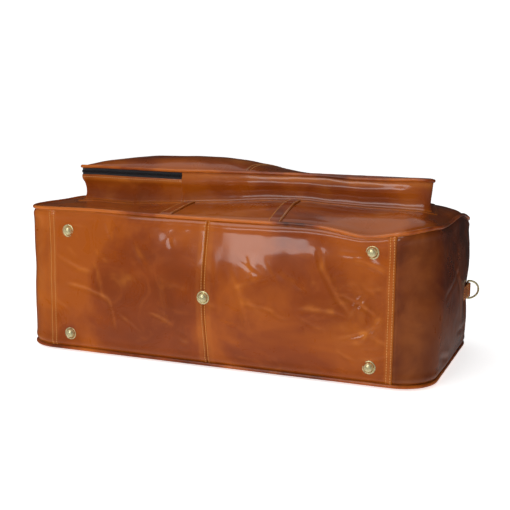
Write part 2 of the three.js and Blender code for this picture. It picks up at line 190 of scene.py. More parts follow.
@dataclass
class Grid:
    """A sheet's outer face as a grid of points, with what the leather shows there.

    Fields: points (nu, nv, 3); wrap joins the last row of u to the first; flip turns the faces
    over; pull is the stretch at each point, from 0 to 1.
    """

    points: Array
    wrap: bool = False
    flip: bool = False
    pull: Optional[Array] = None

    def normals(self) -> Array:
        """Unit normals of the outer face, shape (nu, nv, 3)."""
        if self.wrap:
            du = np.roll(self.points, -1, 0) - np.roll(self.points, 1, 0)
        else:
            du = np.gradient(self.points, axis=0)
        dv = np.gradient(self.points, axis=1)
        normal = np.cross(du, dv)
        if self.flip:
            normal = -normal
        size = np.linalg.norm(normal, axis=-1, keepdims=True)
        normal = normal / np.maximum(size, 1e-12)
        weak = size[..., 0] < 1e-12
        normal[weak] = normal[~weak].mean(0) if (~weak).any() else (0, 0, 1)
        return normal


def new_object(name: str, mesh: bpy.types.Mesh, shade_smooth: bool = True) -> bpy.types.Object:
    """Links a mesh as a named object at the origin."""
    piece = bpy.data.objects.new(name, mesh)
    bpy.context.scene.collection.objects.link(piece)
    if shade_smooth:
        mesh.polygons.foreach_set("use_smooth", [True] * len(mesh.polygons))
    return piece


def mesh_from(name: str, points: Array, faces: Iterable[Sequence[int]]) -> bpy.types.Mesh:
    """A mesh of points (n, 3) and faces."""
    mesh = bpy.data.meshes.new(name)
    mesh.from_pydata([tuple(p) for p in np.asarray(points, float)], [], [tuple(f) for f in faces])
    mesh.update()
    return mesh


def quads(nu: int, nv: int, wrap: bool, start: int = 0, turned: bool = False) -> Array:
    """Quads of a grid of nu by nv points, stored row by row from index start."""
    i = np.arange(nu if wrap else nu - 1)[:, None]
    j = np.arange(nv - 1)[None, :]
    following = (i + 1) % nu
    corners = [i * nv + j, following * nv + j, following * nv + j + 1, i * nv + j + 1]
    face = np.stack([np.broadcast_to(c, (i.shape[0], nv - 1)) for c in corners], -1)
    face = face.reshape(-1, 4) + start
    return face[:, ::-1] if turned else face


def sheet(name: str, grid: Grid, thickness: float, outside: bpy.types.Material,
          inside: Optional[bpy.types.Material] = None, spine: bool = False) -> bpy.types.Object:
    """A closed sheet of leather or cloth with rolled edges.

    Args:
        name: the piece's name.
        grid: its outer face.
        thickness: how thick it is.
        outside: material of the outer face and edges.
        inside: material of the inner face, or none for the same.
        spine: whether the last column of the grid closes on itself, so that it has no edge.

    Returns:
        The new object.
    """
    outer = grid.points
    nu, nv = outer.shape[:2]
    normal = grid.normals()
    inner = outer - normal * thickness
    count = nu * nv
    points = [outer.reshape(-1, 3), inner.reshape(-1, 3)]
    faces = [quads(nu, nv, grid.wrap, 0, grid.flip), quads(nu, nv, grid.wrap, count, not grid.flip)]
    inside_from = len(faces[0])
    inside_to = inside_from + len(faces[1])
    pull = np.zeros((nu, nv)) if grid.pull is None else grid.pull
    pulls = [pull.ravel(), pull.ravel()]
    total = 2 * count

    def rim(line: Array, beyond: Array, turned: bool, closed: bool) -> None:
        nonlocal total
        row_out = outer.reshape(-1, 3)[line]
        away = row_out - outer.reshape(-1, 3)[beyond]
        size = np.linalg.norm(away, axis=1, keepdims=True)
        away = away / np.maximum(size, 1e-9)
        middle = (row_out + inner.reshape(-1, 3)[line]) / 2 + away * thickness * 0.38
        points.append(middle)
        pulls.append(np.clip(pull.ravel()[line] + 0.25, 0, 1))
        steps = len(line)
        index = np.arange(steps if closed else steps - 1)
        step = (index + 1) % steps
        mid = total + np.arange(steps)
        upper = np.stack([line[index], mid[index], mid[step], line[step]], 1)
        lower = np.stack([mid[index], line[index] + count, line[step] + count, mid[step]], 1)
        for band in (upper, lower):
            faces.append(band[:, ::-1] if turned else band)
        total += steps

    rows = np.arange(nu)
    columns = np.arange(nv)
    rim(rows * nv, rows * nv + 1, grid.flip, grid.wrap)
    if not spine:
        rim(rows * nv + nv - 1, rows * nv + nv - 2, not grid.flip, grid.wrap)
    if not grid.wrap:
        rim(columns, columns + nv, not grid.flip, False)
        rim((nu - 1) * nv + columns, (nu - 2) * nv + columns, grid.flip, False)
    mesh = mesh_from(name, np.concatenate(points), np.concatenate(faces))
    attribute = mesh.attributes.new("pull", "FLOAT", "POINT")
    attribute.data.foreach_set("value", np.concatenate(pulls).astype(np.float32))
    mesh.materials.append(outside)
    if inside is not None:
        mesh.materials.append(inside)
        index = np.zeros(len(mesh.polygons), int)
        index[inside_from:inside_to] = 1
        mesh.polygons.foreach_set("material_index", index)
    close_seams(mesh)
    return new_object(name, mesh)


def close_seams(mesh: bpy.types.Mesh, distance: float = 0.00002) -> None:
    """Merges points that coincide, fills the corners that rims leave open, turns faces outward.

    Args:
        mesh: the mesh to work on.
        distance: how near points coincide, or 0 to turn the faces only.
    """
    work = bmesh.new()
    work.from_mesh(mesh)
    if distance:
        bmesh.ops.remove_doubles(work, verts=work.verts, dist=distance)
        bmesh.ops.dissolve_degenerate(work, edges=work.edges, dist=distance)
        open_edges = [edge for edge in work.edges if edge.is_boundary]
        if open_edges:
            bmesh.ops.holes_fill(work, edges=open_edges, sides=8)
    bmesh.ops.recalc_face_normals(work, faces=work.faces)
    work.to_mesh(mesh)
    work.free()
    mesh.update()


def frames_along(path: Array, up: Array, closed: bool = False) -> tuple[Array, Array, Array]:
    """Tangent, side and up directions at each point of a path.

    Args:
        path: points (n, 3).
        up: a direction (3,), or one for each point (n, 3).
        closed: whether the path returns to its start.

    Returns:
        Three arrays (n, 3) of unit vectors.
    """
    if closed:
        tangent = np.roll(path, -1, 0) - np.roll(path, 1, 0)
    else:
        tangent = np.gradient(path, axis=0)
    tangent = tangent / np.linalg.norm(tangent, axis=1, keepdims=True)
    up = np.broadcast_to(up, path.shape)
    side = np.cross(tangent, up)
    side = side / np.maximum(np.linalg.norm(side, axis=1, keepdims=True), 1e-9)
    return tangent, side, np.cross(side, tangent)


def sweep(name: str, path: Array, half_width: Array, half_height: Array, up: Array,
          material: bpy.types.Material, closed: bool = False, sides: int = 14,
          square: float = 2.0) -> bpy.types.Object:
    """A closed solid of a rounded section carried along a path.

    Args:
        name: the piece's name.
        path: points (n, 3).
        half_width: section's half width at each point, or one number.
        half_height: section's half height at each point, or one number.
        up: direction of the section's height.
        material: its finish.
        closed: whether the path is a ring.
        sides: points round the section.
        square: 2 for an ellipse, more for a flatter section with rounded corners.

    Returns:
        The new object.
    """
    count = len(path)
    _, side, above = frames_along(path, np.asarray(up, float), closed)
    angle = np.arange(sides) * 2 * math.pi / sides
    power = 2.0 / square
    wide = np.sign(np.cos(angle)) * np.abs(np.cos(angle)) ** power
    tall = np.sign(np.sin(angle)) * np.abs(np.sin(angle)) ** power
    a = np.broadcast_to(half_width, (count,))[:, None, None]
    b = np.broadcast_to(half_height, (count,))[:, None, None]
    points = (path[:, None] + side[:, None] * wide[None, :, None] * a
              + above[:, None] * tall[None, :, None] * b)
    flat = points.reshape(-1, 3)
    steps = count if closed else count - 1
    i = np.repeat(np.arange(steps), sides)
    j = np.tile(np.arange(sides), steps)
    following = (i + 1) % count
    near = (j + 1) % sides
    faces = [tuple(f) for f in np.stack(
        [i * sides + j, i * sides + near, following * sides + near, following * sides + j], 1)]
    if not closed:
        faces.append(tuple(range(sides)))
        faces.append(tuple((count - 1) * sides + k for k in reversed(range(sides))))
    mesh = mesh_from(name, flat, faces)
    mesh.materials.append(material)
    close_seams(mesh, 0.0)
    return new_object(name, mesh)


def lathe(name: str, profile: Sequence[tuple[float, float]], origin: Vector, axis: Vector,
          material: bpy.types.Material, steps: int = 48) -> bpy.types.Object:
    """A turned solid.

    Args:
        name: the piece's name.
        profile: (radius, height) pairs from the axis back to the axis.
        origin: the place of height 0.
        axis: the direction of height.
        material: its finish.
        steps: points round it.

    Returns:
        The new object.
    """
    turn = Vector((0, 0, 1)).rotation_difference(axis).to_matrix()
    angle = np.arange(steps) * 2 * math.pi / steps
    rings = np.array([[(r * math.cos(a), r * math.sin(a), h) for r, h in profile] for a in angle])
    points = rings.reshape(-1, 3) @ np.array(turn).T + np.array(origin)
    mesh = mesh_from(name, points, quads(steps, len(profile), True))
    mesh.materials.append(material)
    close_seams(mesh, 1e-6)
    return new_object(name, mesh)


def join(name: str, pieces: Sequence[bpy.types.Object]) -> bpy.types.Object:
    """Joins several new objects into one mesh object with their materials kept."""
    work = bmesh.new()
    materials: list[bpy.types.Material] = []
    for piece in pieces:
        slots = list(piece.data.materials)
        before = len(work.faces)
        work.from_mesh(piece.data)
        work.faces.ensure_lookup_table()
        for face in work.faces[before:]:
            finish = slots[face.material_index]
            if finish not in materials:
                materials.append(finish)
            face.material_index = materials.index(finish)
    mesh = bpy.data.meshes.new(name)
    work.to_mesh(mesh)
    work.free()
    for finish in materials:
        mesh.materials.append(finish)
    for piece in pieces:
        bpy.data.objects.remove(piece)
    return new_object(name, mesh)


def resample(path: Array, step: float, closed: bool = False) -> Array:
    """Points at an even spacing along a polyline."""
    line = np.vstack([path, path[:1]]) if closed else path
    lengths = np.concatenate([[0], np.cumsum(np.linalg.norm(np.diff(line, axis=0), axis=1))])
    count = max(2, int(round(lengths[-1] / step)))
    marks = np.linspace(0, lengths[-1], count, endpoint=not closed)
    return np.stack([np.interp(marks, lengths, line[:, k]) for k in range(line.shape[1])], 1)


def rounded(corners: Array, steps: int = 12) -> Array:
    """A smooth open curve through a few points, by Catmull-Rom spans."""
    corners = np.asarray(corners, float)
    padded = np.vstack([2 * corners[0] - corners[1], corners, 2 * corners[-1] - corners[-2]])
    result = []
    for a, b, c, d in zip(padded, padded[1:], padded[2:], padded[3:]):
        for t in np.linspace(0, 1, steps, endpoint=False):
            result.append(0.5 * (2 * b + (c - a) * t + (2 * a - 5 * b + 4 * c - d) * t**2
                                 + (3 * b - a - 3 * c + d) * t**3))
    result.append(corners[-1])
    return np.array(result)


# ---------------------------------------------------------------- finishes

def linear(hex_colour: str) -> tuple[float, float, float, float]:
    """An sRGB hex colour as the linear numbers that shaders use."""
    channels = [int(hex_colour[i:i + 2], 16) / 255 for i in (1, 3, 5)]
    bent = [c / 12.92 if c <= 0.04045 else ((c + 0.055) / 1.055) ** 2.4 for c in channels]
    return (*bent, 1.0)


def node(tree: bpy.types.NodeTree, kind: str, links: Optional[dict] = None,
         values: Optional[dict] = None, **settings: object) -> bpy.types.Node:
    """Adds a node.

    Args:
        tree: the node tree.
        kind: the node's type name.
        links: input name or number to the output socket that feeds it.
        values: input name or number to its own value.
        settings: properties of the node.

    Returns:
        The new node.
    """
    made = tree.nodes.new(kind)
    for key, value in settings.items():
        setattr(made, key, value)
    for key, value in (values or {}).items():
        made.inputs[key].default_value = value
    for key, socket in (links or {}).items():
        tree.links.new(socket, made.inputs[key])
    return made


def ramp(tree: bpy.types.NodeTree, factor: bpy.types.NodeSocket,
         stops: Sequence[tuple[float, str]]) -> bpy.types.NodeSocket:
    """A colour ramp over a factor, from (place, hex colour) stops."""
    made = node(tree, "ShaderNodeValToRGB", {"Fac": factor})
    elements = made.color_ramp.elements
    while len(elements) < len(stops):
        elements.new(0.5)
    for element, (place, colour) in zip(elements, stops):
        element.position = place
        element.color = linear(colour)
    return made.outputs["Color"]


def mix(tree: bpy.types.NodeTree, factor: object, a: object, b: object,
        how: str = "MIX") -> bpy.types.NodeSocket:
    """Mixes two colours, each a socket or a hex colour, by a socket or a number."""
    made = node(tree, "ShaderNodeMix", data_type="RGBA", blend_type=how, clamp_factor=True)
    for index, value in ((0, factor), (6, a), (7, b)):
        if isinstance(value, bpy.types.NodeSocket):
            tree.links.new(value, made.inputs[index])
        else:
            made.inputs[index].default_value = linear(value) if isinstance(value, str) else value
    return made.outputs[2]


def spread(tree: bpy.types.NodeTree, value: bpy.types.NodeSocket, low: float, high: float,
           to_low: float = 0.0, to_high: float = 1.0) -> bpy.types.NodeSocket:
    """Maps a value's range onto another, clamped."""
    made = node(tree, "ShaderNodeMapRange", {"Value": value}, {
        "From Min": low, "From Max": high, "To Min": to_low, "To Max": to_high})
    return made.outputs["Result"]


def sums(tree: bpy.types.NodeTree, how: str, a: object, b: object) -> bpy.types.NodeSocket:
    """One math step on two values, each a socket or a number."""
    made = node(tree, "ShaderNodeMath", operation=how)
    for index, value in enumerate((a, b)):
        if isinstance(value, bpy.types.NodeSocket):
            tree.links.new(value, made.inputs[index])
        else:
            made.inputs[index].default_value = value
    return made.outputs[0]


def new_material(name: str) -> tuple[bpy.types.Material, bpy.types.NodeTree, bpy.types.Node]:
    """A material with its tree and its principled shader."""
    material = bpy.data.materials.new(name)
    material.use_nodes = True
    tree = material.node_tree
    return material, tree, tree.nodes["Principled BSDF"]


@dataclass(frozen=True)
class PullUpLeather:
    """Oiled and waxed pull-up cowhide, glazed to a gloss.

    The oil makes a deep, uneven brown that turns orange wherever the hide is stretched or
    folded, and the glaze gives broad soft reflections that break up over the folds.
    Fields are the hex colours of the hide, from oiled to stretched, and the size of its grain.
    """

    name: str
    oiled: str = "#7A3308"
    hide: str = "#873A08"
    warm: str = "#9F4C09"
    stretched: str = "#C8721C"
    grain: float = 0.9 * MM
    roughness: float = 0.30

    def make(self) -> bpy.types.Material:
        """Builds the material."""
        material, tree, shader = new_material(self.name)
        place = node(tree, "ShaderNodeTexCoord").outputs["Object"]
        pull = node(tree, "ShaderNodeAttribute", attribute_name="pull").outputs["Fac"]
        clouds = node(tree, "ShaderNodeTexNoise", {"Vector": place}, {
            "Scale": 7.0, "Detail": 4.0, "Roughness": 0.55, "Distortion": 0.6})
        patches = node(tree, "ShaderNodeTexNoise", {"Vector": place}, {
            "Scale": 19.0, "Detail": 5.0, "Roughness": 0.6, "Distortion": 1.4})
        body = ramp(tree, clouds.outputs["Fac"], (
            (0.34, self.oiled), (0.47, self.hide), (0.60, self.warm)))
        patchy = spread(tree, patches.outputs["Fac"], 0.53, 0.74, 0.0, 0.55)
        body = mix(tree, patchy, body, self.warm)
        stretch = sums(tree, "MULTIPLY", pull, spread(
            tree, patches.outputs["Fac"], 0.30, 0.62, 0.35, 1.0))
        body = mix(tree, stretch, body, self.stretched)
        pores = node(tree, "ShaderNodeTexVoronoi", {"Vector": place}, {
            "Scale": 1 / self.grain, "Randomness": 1.0}, feature="SMOOTH_F1")
        folds = node(tree, "ShaderNodeTexNoise", {"Vector": place}, {
            "Scale": 120.0, "Detail": 6.0, "Roughness": 0.62, "Distortion": 0.4})
        gloss = spread(tree, patches.outputs["Fac"], 0.3, 0.7,
                       self.roughness - 0.07, self.roughness + 0.10)
        gloss = sums(tree, "ADD", gloss, sums(tree, "MULTIPLY", pull, 0.10))
        soft = node(tree, "ShaderNodeBump", {"Height": folds.outputs["Fac"]}, {
            "Strength": 0.16, "Distance": 0.9 * MM})
        fine = node(tree, "ShaderNodeBump", {
            "Height": pores.outputs["Distance"], "Normal": soft.outputs["Normal"]}, {
            "Strength": 0.10, "Distance": 0.25 * MM})
        tree.links.new(body, shader.inputs["Base Color"])
        tree.links.new(gloss, shader.inputs["Roughness"])
        tree.links.new(fine.outputs["Normal"], shader.inputs["Normal"])
        shader.inputs["IOR"].default_value = 1.5
        shader.inputs["Specular IOR Level"].default_value = 0.20
        shader.inputs["Coat Weight"].default_value = 0.62
        shader.inputs["Coat Roughness"].default_value = 0.10
        return material


@dataclass(frozen=True)
class WaxedThread:
    """Bonded polyester thread, waxed: a golden tan with a faint twist and a dull sheen."""

    name: str = "waxed_tan_thread"
    colour: str = "#E2A45C"
    shade: str = "#BE7A38"
    twist: float = 0.6 * MM

    def make(self) -> bpy.types.Material:
        """Builds the material."""
        material, tree, shader = new_material(self.name)
        place = node(tree, "ShaderNodeTexCoord").outputs["Object"]
        plies = node(tree, "ShaderNodeTexWave", {"Vector": place}, {
            "Scale": 0.3 / self.twist, "Distortion": 2.0}, bands_direction="DIAGONAL")
        tree.links.new(ramp(tree, plies.outputs["Fac"], ((0.0, self.shade), (1.0, self.colour))),
                       shader.inputs["Base Color"])
        shader.inputs["Roughness"].default_value = 0.55
        return material


@dataclass(frozen=True)
class WovenCloth:
    """A plain woven cloth or tape: two threads crossing, seen as a fine check of light and dark.

    Fields: the thread's two hex colours, the spacing of the threads and the roughness.
    """

    name: str
    light: str
    dark: str
    thread: float
    roughness: float = 0.85

    def make(self) -> bpy.types.Material:
        """Builds the material, its threads laid along the bag and across it."""
        material, tree, shader = new_material(self.name)
        place = node(tree, "ShaderNodeTexCoord").outputs["Object"]
        weave = [node(tree, "ShaderNodeTexWave", {"Vector": place}, {
            "Scale": 0.16 / self.thread, "Distortion": 0.3}, bands_direction=way).outputs["Fac"]
            for way in ("X", "Z")]
        check = sums(tree, "MULTIPLY", weave[0], weave[1])
        tree.links.new(mix(tree, check, self.dark, self.light), shader.inputs["Base Color"])
        raised = node(tree, "ShaderNodeBump", {"Height": check}, {
            "Strength": 0.4, "Distance": self.thread * 0.5})
        tree.links.new(raised.outputs["Normal"], shader.inputs["Normal"])
        shader.inputs["Roughness"].default_value = self.roughness
        shader.inputs["Sheen Weight"].default_value = 0.15
        return material


@dataclass(frozen=True)
class PolishedBrass:
    """Pale plated brass, turned and buffed: a soft mirror with faint handling haze."""

    name: str = "pale_polished_brass"
    bright: str = "#F1E6B4"
    dull: str = "#E6D9A4"

    def make(self) -> bpy.types.Material:
        """Builds the material."""
        material, tree, shader = new_material(self.name)
        place = node(tree, "ShaderNodeTexCoord").outputs["Object"]
        haze = node(tree, "ShaderNodeTexNoise", {"Vector": place}, {
            "Scale": 260.0, "Detail": 4.0, "Roughness": 0.6})
        tree.links.new(ramp(tree, haze.outputs["Fac"], ((0.35, self.dull), (0.6, self.bright))),
                       shader.inputs["Base Color"])
        tree.links.new(spread(tree, haze.outputs["Fac"], 0.3, 0.7, 0.20, 0.34),
                       shader.inputs["Roughness"])
        shader.inputs["Metallic"].default_value = 0.62  # the clear lacquer scatters some light
        return material


@dataclass(frozen=True)
class MouldedNylon:
    """Black nylon coil of a zip: smooth and slightly shiny."""

    name: str = "black_nylon_coil"
    colour: str = "#19191C"
    worn: str = "#2B2B30"

    def make(self) -> bpy.types.Material:
        """Builds the material."""
        material, tree, shader = new_material(self.name)
        place = node(tree, "ShaderNodeTexCoord").outputs["Object"]
        wear = node(tree, "ShaderNodeTexNoise", {"Vector": place}, {"Scale": 90.0, "Detail": 3.0})
        tree.links.new(mix(tree, wear.outputs["Fac"], self.colour, self.worn),
                       shader.inputs["Base Color"])
        shader.inputs["Roughness"].default_value = 0.38
        return material


@dataclass(frozen=True)
class PressedBoard:
    """Grey-brown pressed fibreboard: matt, with short fibres showing."""

    name: str = "pressed_fibreboard"

    def make(self) -> bpy.types.Material:
        """Builds the material."""
        material, tree, shader = new_material(self.name)
        place = node(tree, "ShaderNodeTexCoord").outputs["Object"]
        fibre = node(tree, "ShaderNodeTexNoise", {"Vector": place}, {
            "Scale": 380.0, "Detail": 5.0, "Distortion": 2.0})
        tree.links.new(ramp(tree, fibre.outputs["Fac"], ((0.35, "#4A3A2B"), (0.65, "#6E5A45"))),
                       shader.inputs["Base Color"])
        shader.inputs["Roughness"].default_value = 0.92
        return material


class Slot(Enum):
    """The record's material slots."""

    LEATHER = "leather"
    STRAP = "strap_leather"
    PIPING = "piping_leather"
    LINING = "lining"
    BOARD = "board"
    TAPE = "zip_tape"
    TEETH = "zip_teeth"
    THREAD = "thread"
    BRASS = "brass"


# The right end gets a darker leather than the base: painted shade, for the end that the lamps leave
# dim.
SHADED_END_HIDE = PullUpLeather("pull_up_end_hide_painted_shade", oiled="#3D1507", hide="#5C2409",
                         warm="#74350C", stretched="#9A521A").make()
FINISHES: dict[Slot, bpy.types.Material] = {
    Slot.LEATHER: PullUpLeather("glazed_pull_up_cowhide").make(),
    Slot.STRAP: PullUpLeather("glazed_pull_up_strap", oiled="#551F08", hide="#86390F",
                              warm="#9A4A12").make(),
    Slot.PIPING: PullUpLeather("pull_up_piping", oiled="#471A07", hide="#8A3C10",
                               warm="#B8601A", roughness=0.34).make(),
    Slot.LINING: WovenCloth("brown_twill_lining", "#4B3526", "#33231A", 0.7 * MM).make(),
    Slot.BOARD: PressedBoard().make(),
    Slot.TAPE: WovenCloth("black_zip_tape", "#303036", "#1B1B20", 0.6 * MM, 0.7).make(),
    Slot.TEETH: MouldedNylon().make(),
    Slot.THREAD: WaxedThread().make(),
    Slot.BRASS: PolishedBrass().make(),
}


# ---------------------------------------------------------------- stitches and zip teeth

class RowOfParts:
    """A Geometry Nodes tree that sets small rounded parts along curves, a pitch apart."""

    def __init__(self) -> None:
        """Builds the tree once; every row shares it."""
        tree = bpy.data.node_groups.new("row_of_parts", "GeometryNodeTree")
        face = tree.interface
        face.new_socket("Geometry", in_out="INPUT", socket_type="NodeSocketGeometry")
        for name in ("Pitch", "Length", "Width", "Height"):
            face.new_socket(name, in_out="INPUT", socket_type="NodeSocketFloat")
        face.new_socket("Finish", in_out="INPUT", socket_type="NodeSocketMaterial")
        face.new_socket("Geometry", in_out="OUTPUT", socket_type="NodeSocketGeometry")
        given = tree.nodes.new("NodeGroupInput")
        curve = node(tree, "GeometryNodeMeshToCurve", {"Mesh": given.outputs["Geometry"]})
        points = node(tree, "GeometryNodeCurveToPoints", {
            "Curve": curve.outputs["Curve"], "Length": given.outputs["Pitch"]}, mode="LENGTH")
        up = node(tree, "GeometryNodeInputNamedAttribute", values={"Name": "up"},
                  data_type="FLOAT_VECTOR")
        along = node(tree, "FunctionNodeAlignRotationToVector", {
            "Vector": points.outputs["Tangent"]}, axis="X")
        turned = node(tree, "FunctionNodeAlignRotationToVector", {
            "Rotation": along.outputs["Rotation"], "Vector": up.outputs["Attribute"]},
            axis="Z", pivot_axis="X")
        part = node(tree, "GeometryNodeMeshUVSphere", values={
            "Segments": 6, "Rings": 4, "Radius": 0.5})
        size = node(tree, "ShaderNodeCombineXYZ", {
            "X": given.outputs["Length"], "Y": given.outputs["Width"],
            "Z": given.outputs["Height"]})
        shaped = node(tree, "GeometryNodeTransform", {
            "Geometry": part.outputs["Mesh"], "Scale": size.outputs["Vector"]})
        placed = node(tree, "GeometryNodeInstanceOnPoints", {
            "Points": points.outputs["Points"], "Instance": shaped.outputs["Geometry"],
            "Rotation": turned.outputs["Rotation"]})
        real = node(tree, "GeometryNodeRealizeInstances", {
            "Geometry": placed.outputs["Instances"]})
        dressed = node(tree, "GeometryNodeSetMaterial", {
            "Geometry": real.outputs["Geometry"], "Material": given.outputs["Finish"]})
        given_out = tree.nodes.new("NodeGroupOutput")
        tree.links.new(dressed.outputs["Geometry"], given_out.inputs["Geometry"])
        self.tree = tree

    def make(self, name: str, rows: Sequence[tuple[Array, Array]], pitch: float, length: float,
             width: float, height: float, finish: bpy.types.Material) -> bpy.types.Object:
        """Sets parts along rows.

        Args:
            name: the piece's name.
            rows: for each row its points (n, 3) and the outward direction at each.
            pitch: spacing along the row.
            length: a part's size along the row.
            width: its size across the row.
            height: its size outwards.
            finish: its material.

        Returns:
            A plain mesh object.
        """
        points, edges, ups = [], [], []
        for path, up in rows:
            start = sum(len(p) for p in points)
            points.append(path)
            ups.append(np.broadcast_to(up, path.shape))
            edges += [(start + i, start + i + 1) for i in range(len(path) - 1)]
        mesh = bpy.data.meshes.new(name + "_rows")
        mesh.from_pydata([tuple(p) for p in np.concatenate(points)], edges, [])
        attribute = mesh.attributes.new("up", "FLOAT_VECTOR", "POINT")
        attribute.data.foreach_set("vector", np.concatenate(ups).astype(np.float32).ravel())
        rows_object = new_object(name + "_rows", mesh)
        modifier = rows_object.modifiers.new("parts", "NODES")
        modifier.node_group = self.tree
        sizes = {"Pitch": pitch, "Length": length, "Width": width, "Height": height,
                 "Finish": finish}
        for item in self.tree.interface.items_tree:
            if item.in_out == "INPUT" and item.name in sizes:
                modifier[item.identifier] = sizes[item.name]
        bpy.context.view_layer.update()
        ready = rows_object.evaluated_get(bpy.context.evaluated_depsgraph_get())
        real = bpy.data.meshes.new_from_object(ready)
        bpy.data.objects.remove(rows_object)
        real.name = name
        return new_object(name, real)


ROWS = RowOfParts()


@dataclass(frozen=True)
class Seamwork:
    """Machine stitching: stitches of waxed thread sunk a little into the leather.

    The thread is drawn a little thicker than the real one, which would be too fine to show.
    """

    pitch: float = 3.8 * MM
    length: float = 2.9 * MM
    width: float = 1.25 * MM
    height: float = 1.1 * MM

    def sew(self, name: str, rows: Sequence[tuple[Array, Array]]) -> bpy.types.Object:
        """Stitches along rows of points with outward directions."""
        return ROWS.make(name, rows, self.pitch, self.length, self.width, self.height,
                         FINISHES[Slot.THREAD])


SEAMS = Seamwork()


def settle(piece: bpy.types.Object, body: str, slot: Slot, *replaced: str) -> bpy.types.Object:
    """Puts a finished piece on its body and hides the solids it stands for."""
    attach(piece, body)
    if replaced:
        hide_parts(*replaced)
    LOG.info("%s rides on %s", piece.name, body)
    return piece


def bend(piece: bpy.types.Object, bodies: tuple[str, str], start: Sequence[float],
         end: Sequence[float], slot: Slot, *replaced: str) -> bpy.types.Object:
    """Bakes a finished piece's place into its mesh and hides the solids it stands for; it is not
    made to bend.
    """
    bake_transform(piece)
    if replaced:
        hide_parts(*replaced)
    LOG.info("%s bends from %s to %s", piece.name, *bodies)
    return piece


# ---------------------------------------------------------------- the bag's form

@dataclass(frozen=True)
class Outline:
    """A rounded rectangle in plan, followed by arc length from the middle of its low side."""

    x0: float
    x1: float
    y0: float
    y1: float
    low_radius: float
    high_radius: float
    narrowing: float = 0.0

    @property
    def middle(self) -> tuple[float, float]:
        """The rectangle's middle."""
        return (self.x0 + self.x1) / 2, (self.y0 + self.y1) / 2

    @property
    def size(self) -> tuple[float, float]:
        """Its length and width before it narrows."""
        return self.x1 - self.x0, self.y1 - self.y0

    def share(self, y: Array) -> Array:
        """What is left of the length at y, where the far side is narrower."""
        return 1 - self.narrowing * (y - self.y0) / self.size[1]

    def around(self, step: float) -> Array:
        """Arc lengths once round, about a step apart."""
        whole = self.marks()[-1]
        return np.linspace(-whole, whole, int(2 * whole / step), endpoint=False)

    def marks(self) -> Array:
        """Arc lengths at which the low side, corner, end, corner and high side finish."""
        reach = self.size[0] / 2
        return np.cumsum([
            reach - self.low_radius, self.low_radius * math.pi / 2,
            self.size[1] - self.low_radius - self.high_radius,
            self.high_radius * math.pi / 2, reach - self.high_radius])

    def edge(self, s: Array) -> tuple[Array, Array]:
        """Points (.., 2) on the outline and their outward normals (.., 2).

        Args:
            s: arc length from the middle of the low side, positive towards +X; it may wrap.

        Returns:
            The points and the normals.
        """
        marks = self.marks()
        s = (np.asarray(s, float) + marks[-1]) % (2 * marks[-1]) - marks[-1]
        side, a = np.where(s < 0, -1.0, 1.0), np.abs(s)
        reach = self.size[0] / 2
        r, q = self.low_radius, self.high_radius
        low, high = (a - marks[0]) / r, (a - marks[2]) / q
        part = np.searchsorted(marks[:4], a)
        zero, one = np.zeros_like(a), np.ones_like(a)
        x = np.choose(part, [a, reach - r + r * np.sin(low), reach * one,
                             reach - q + q * np.cos(high), reach - q - (a - marks[3])])
        y = np.choose(part, [self.y0 + zero, self.y0 + r - r * np.cos(low),
                             self.y0 + r + a - marks[1], self.y1 - q + q * np.sin(high),
                             self.y1 + zero])
        nx = np.choose(part, [zero, np.sin(low), one, np.cos(high), zero])
        ny = np.choose(part, [-one, -np.cos(low), zero, np.sin(high), one])
        share = self.share(y)
        slope = self.narrowing * x / self.size[1]
        normal = np.stack([side * nx, ny * share + nx * slope], -1)
        normal = normal / np.linalg.norm(normal, axis=-1, keepdims=True)
        return np.stack([self.middle[0] + side * x * share, y], -1), normal

    def inside(self, x: Array, y: Array) -> Array:
        """How far a point lies inside the outline."""
        radius = np.where(y < self.middle[1], self.low_radius, self.high_radius)
        across = np.abs(x - self.middle[0]) / self.share(y) - (self.size[0] / 2 - radius)
        up = np.abs(y - self.middle[1]) - (self.size[1] / 2 - radius)
        beyond = np.hypot(np.maximum(across, 0), np.maximum(up, 0))
        return radius - beyond - np.minimum(np.maximum(across, up), 0)

    def rings(self, spine: tuple[float, float, float], step: float, rows: int,
              tuck: float = 0.0) -> tuple[Array, Array]:
        """Plan points of rings that shrink from the outline onto a line.

        Args:
            spine: the line's two x and its y.
            step: spacing along the outline.
            rows: how many rings.
            tuck: how far inside the outline the first ring lies.

        Returns:
            x and y, each of shape (around, rows).
        """
        marks = self.marks()
        counts = [max(4, int(round(length / step))) for length in np.diff([0, *marks])]
        counts[4] = counts[0]
        half = np.concatenate([[0]] + [
            np.linspace(a, b, n + 1)[1:] for a, b, n in zip([0, *marks[:4]], marks, counts)])
        level = np.ones(len(half))
        level[:counts[0] + 1] = np.linspace(0, 1, counts[0] + 1)
        level[-counts[0] - 1:] = np.linspace(1, 0, counts[0] + 1)
        s = np.concatenate([half, -half[-2:0:-1]])
        side = np.concatenate([level, -level[-2:0:-1]])
        edge, normal = self.edge(s)
        start = edge - normal * tuck
        middle, reach = (spine[0] + spine[1]) / 2, (spine[1] - spine[0]) / 2
        target = np.stack([middle + side * reach, np.full(len(s), spine[2])], -1)
        v = np.linspace(0, 1, rows) ** 1.15
        plan = start[:, None] * (1 - v[None, :, None]) + target[:, None] * v[None, :, None]
        return plan[..., 0], plan[..., 1]


SEAM_X = 0.268
CENTRE_SEAM_X = -0.0055
ZIP_Z = 0.09375
HINGE_Z = {"front": 0.1689, "back": 0.0186}
TOP_Y = 0.088
BASE_Y = -0.237
FRONT_END = 0.318  # how far along the bag the flat of the front panel reaches
ENDS = (("left", -1.0), ("right", 1.0))
OUT, UP = np.array([0, 1.0, 0]), np.array([0, 0, 1.0])  # out of the mouth; up from the floor


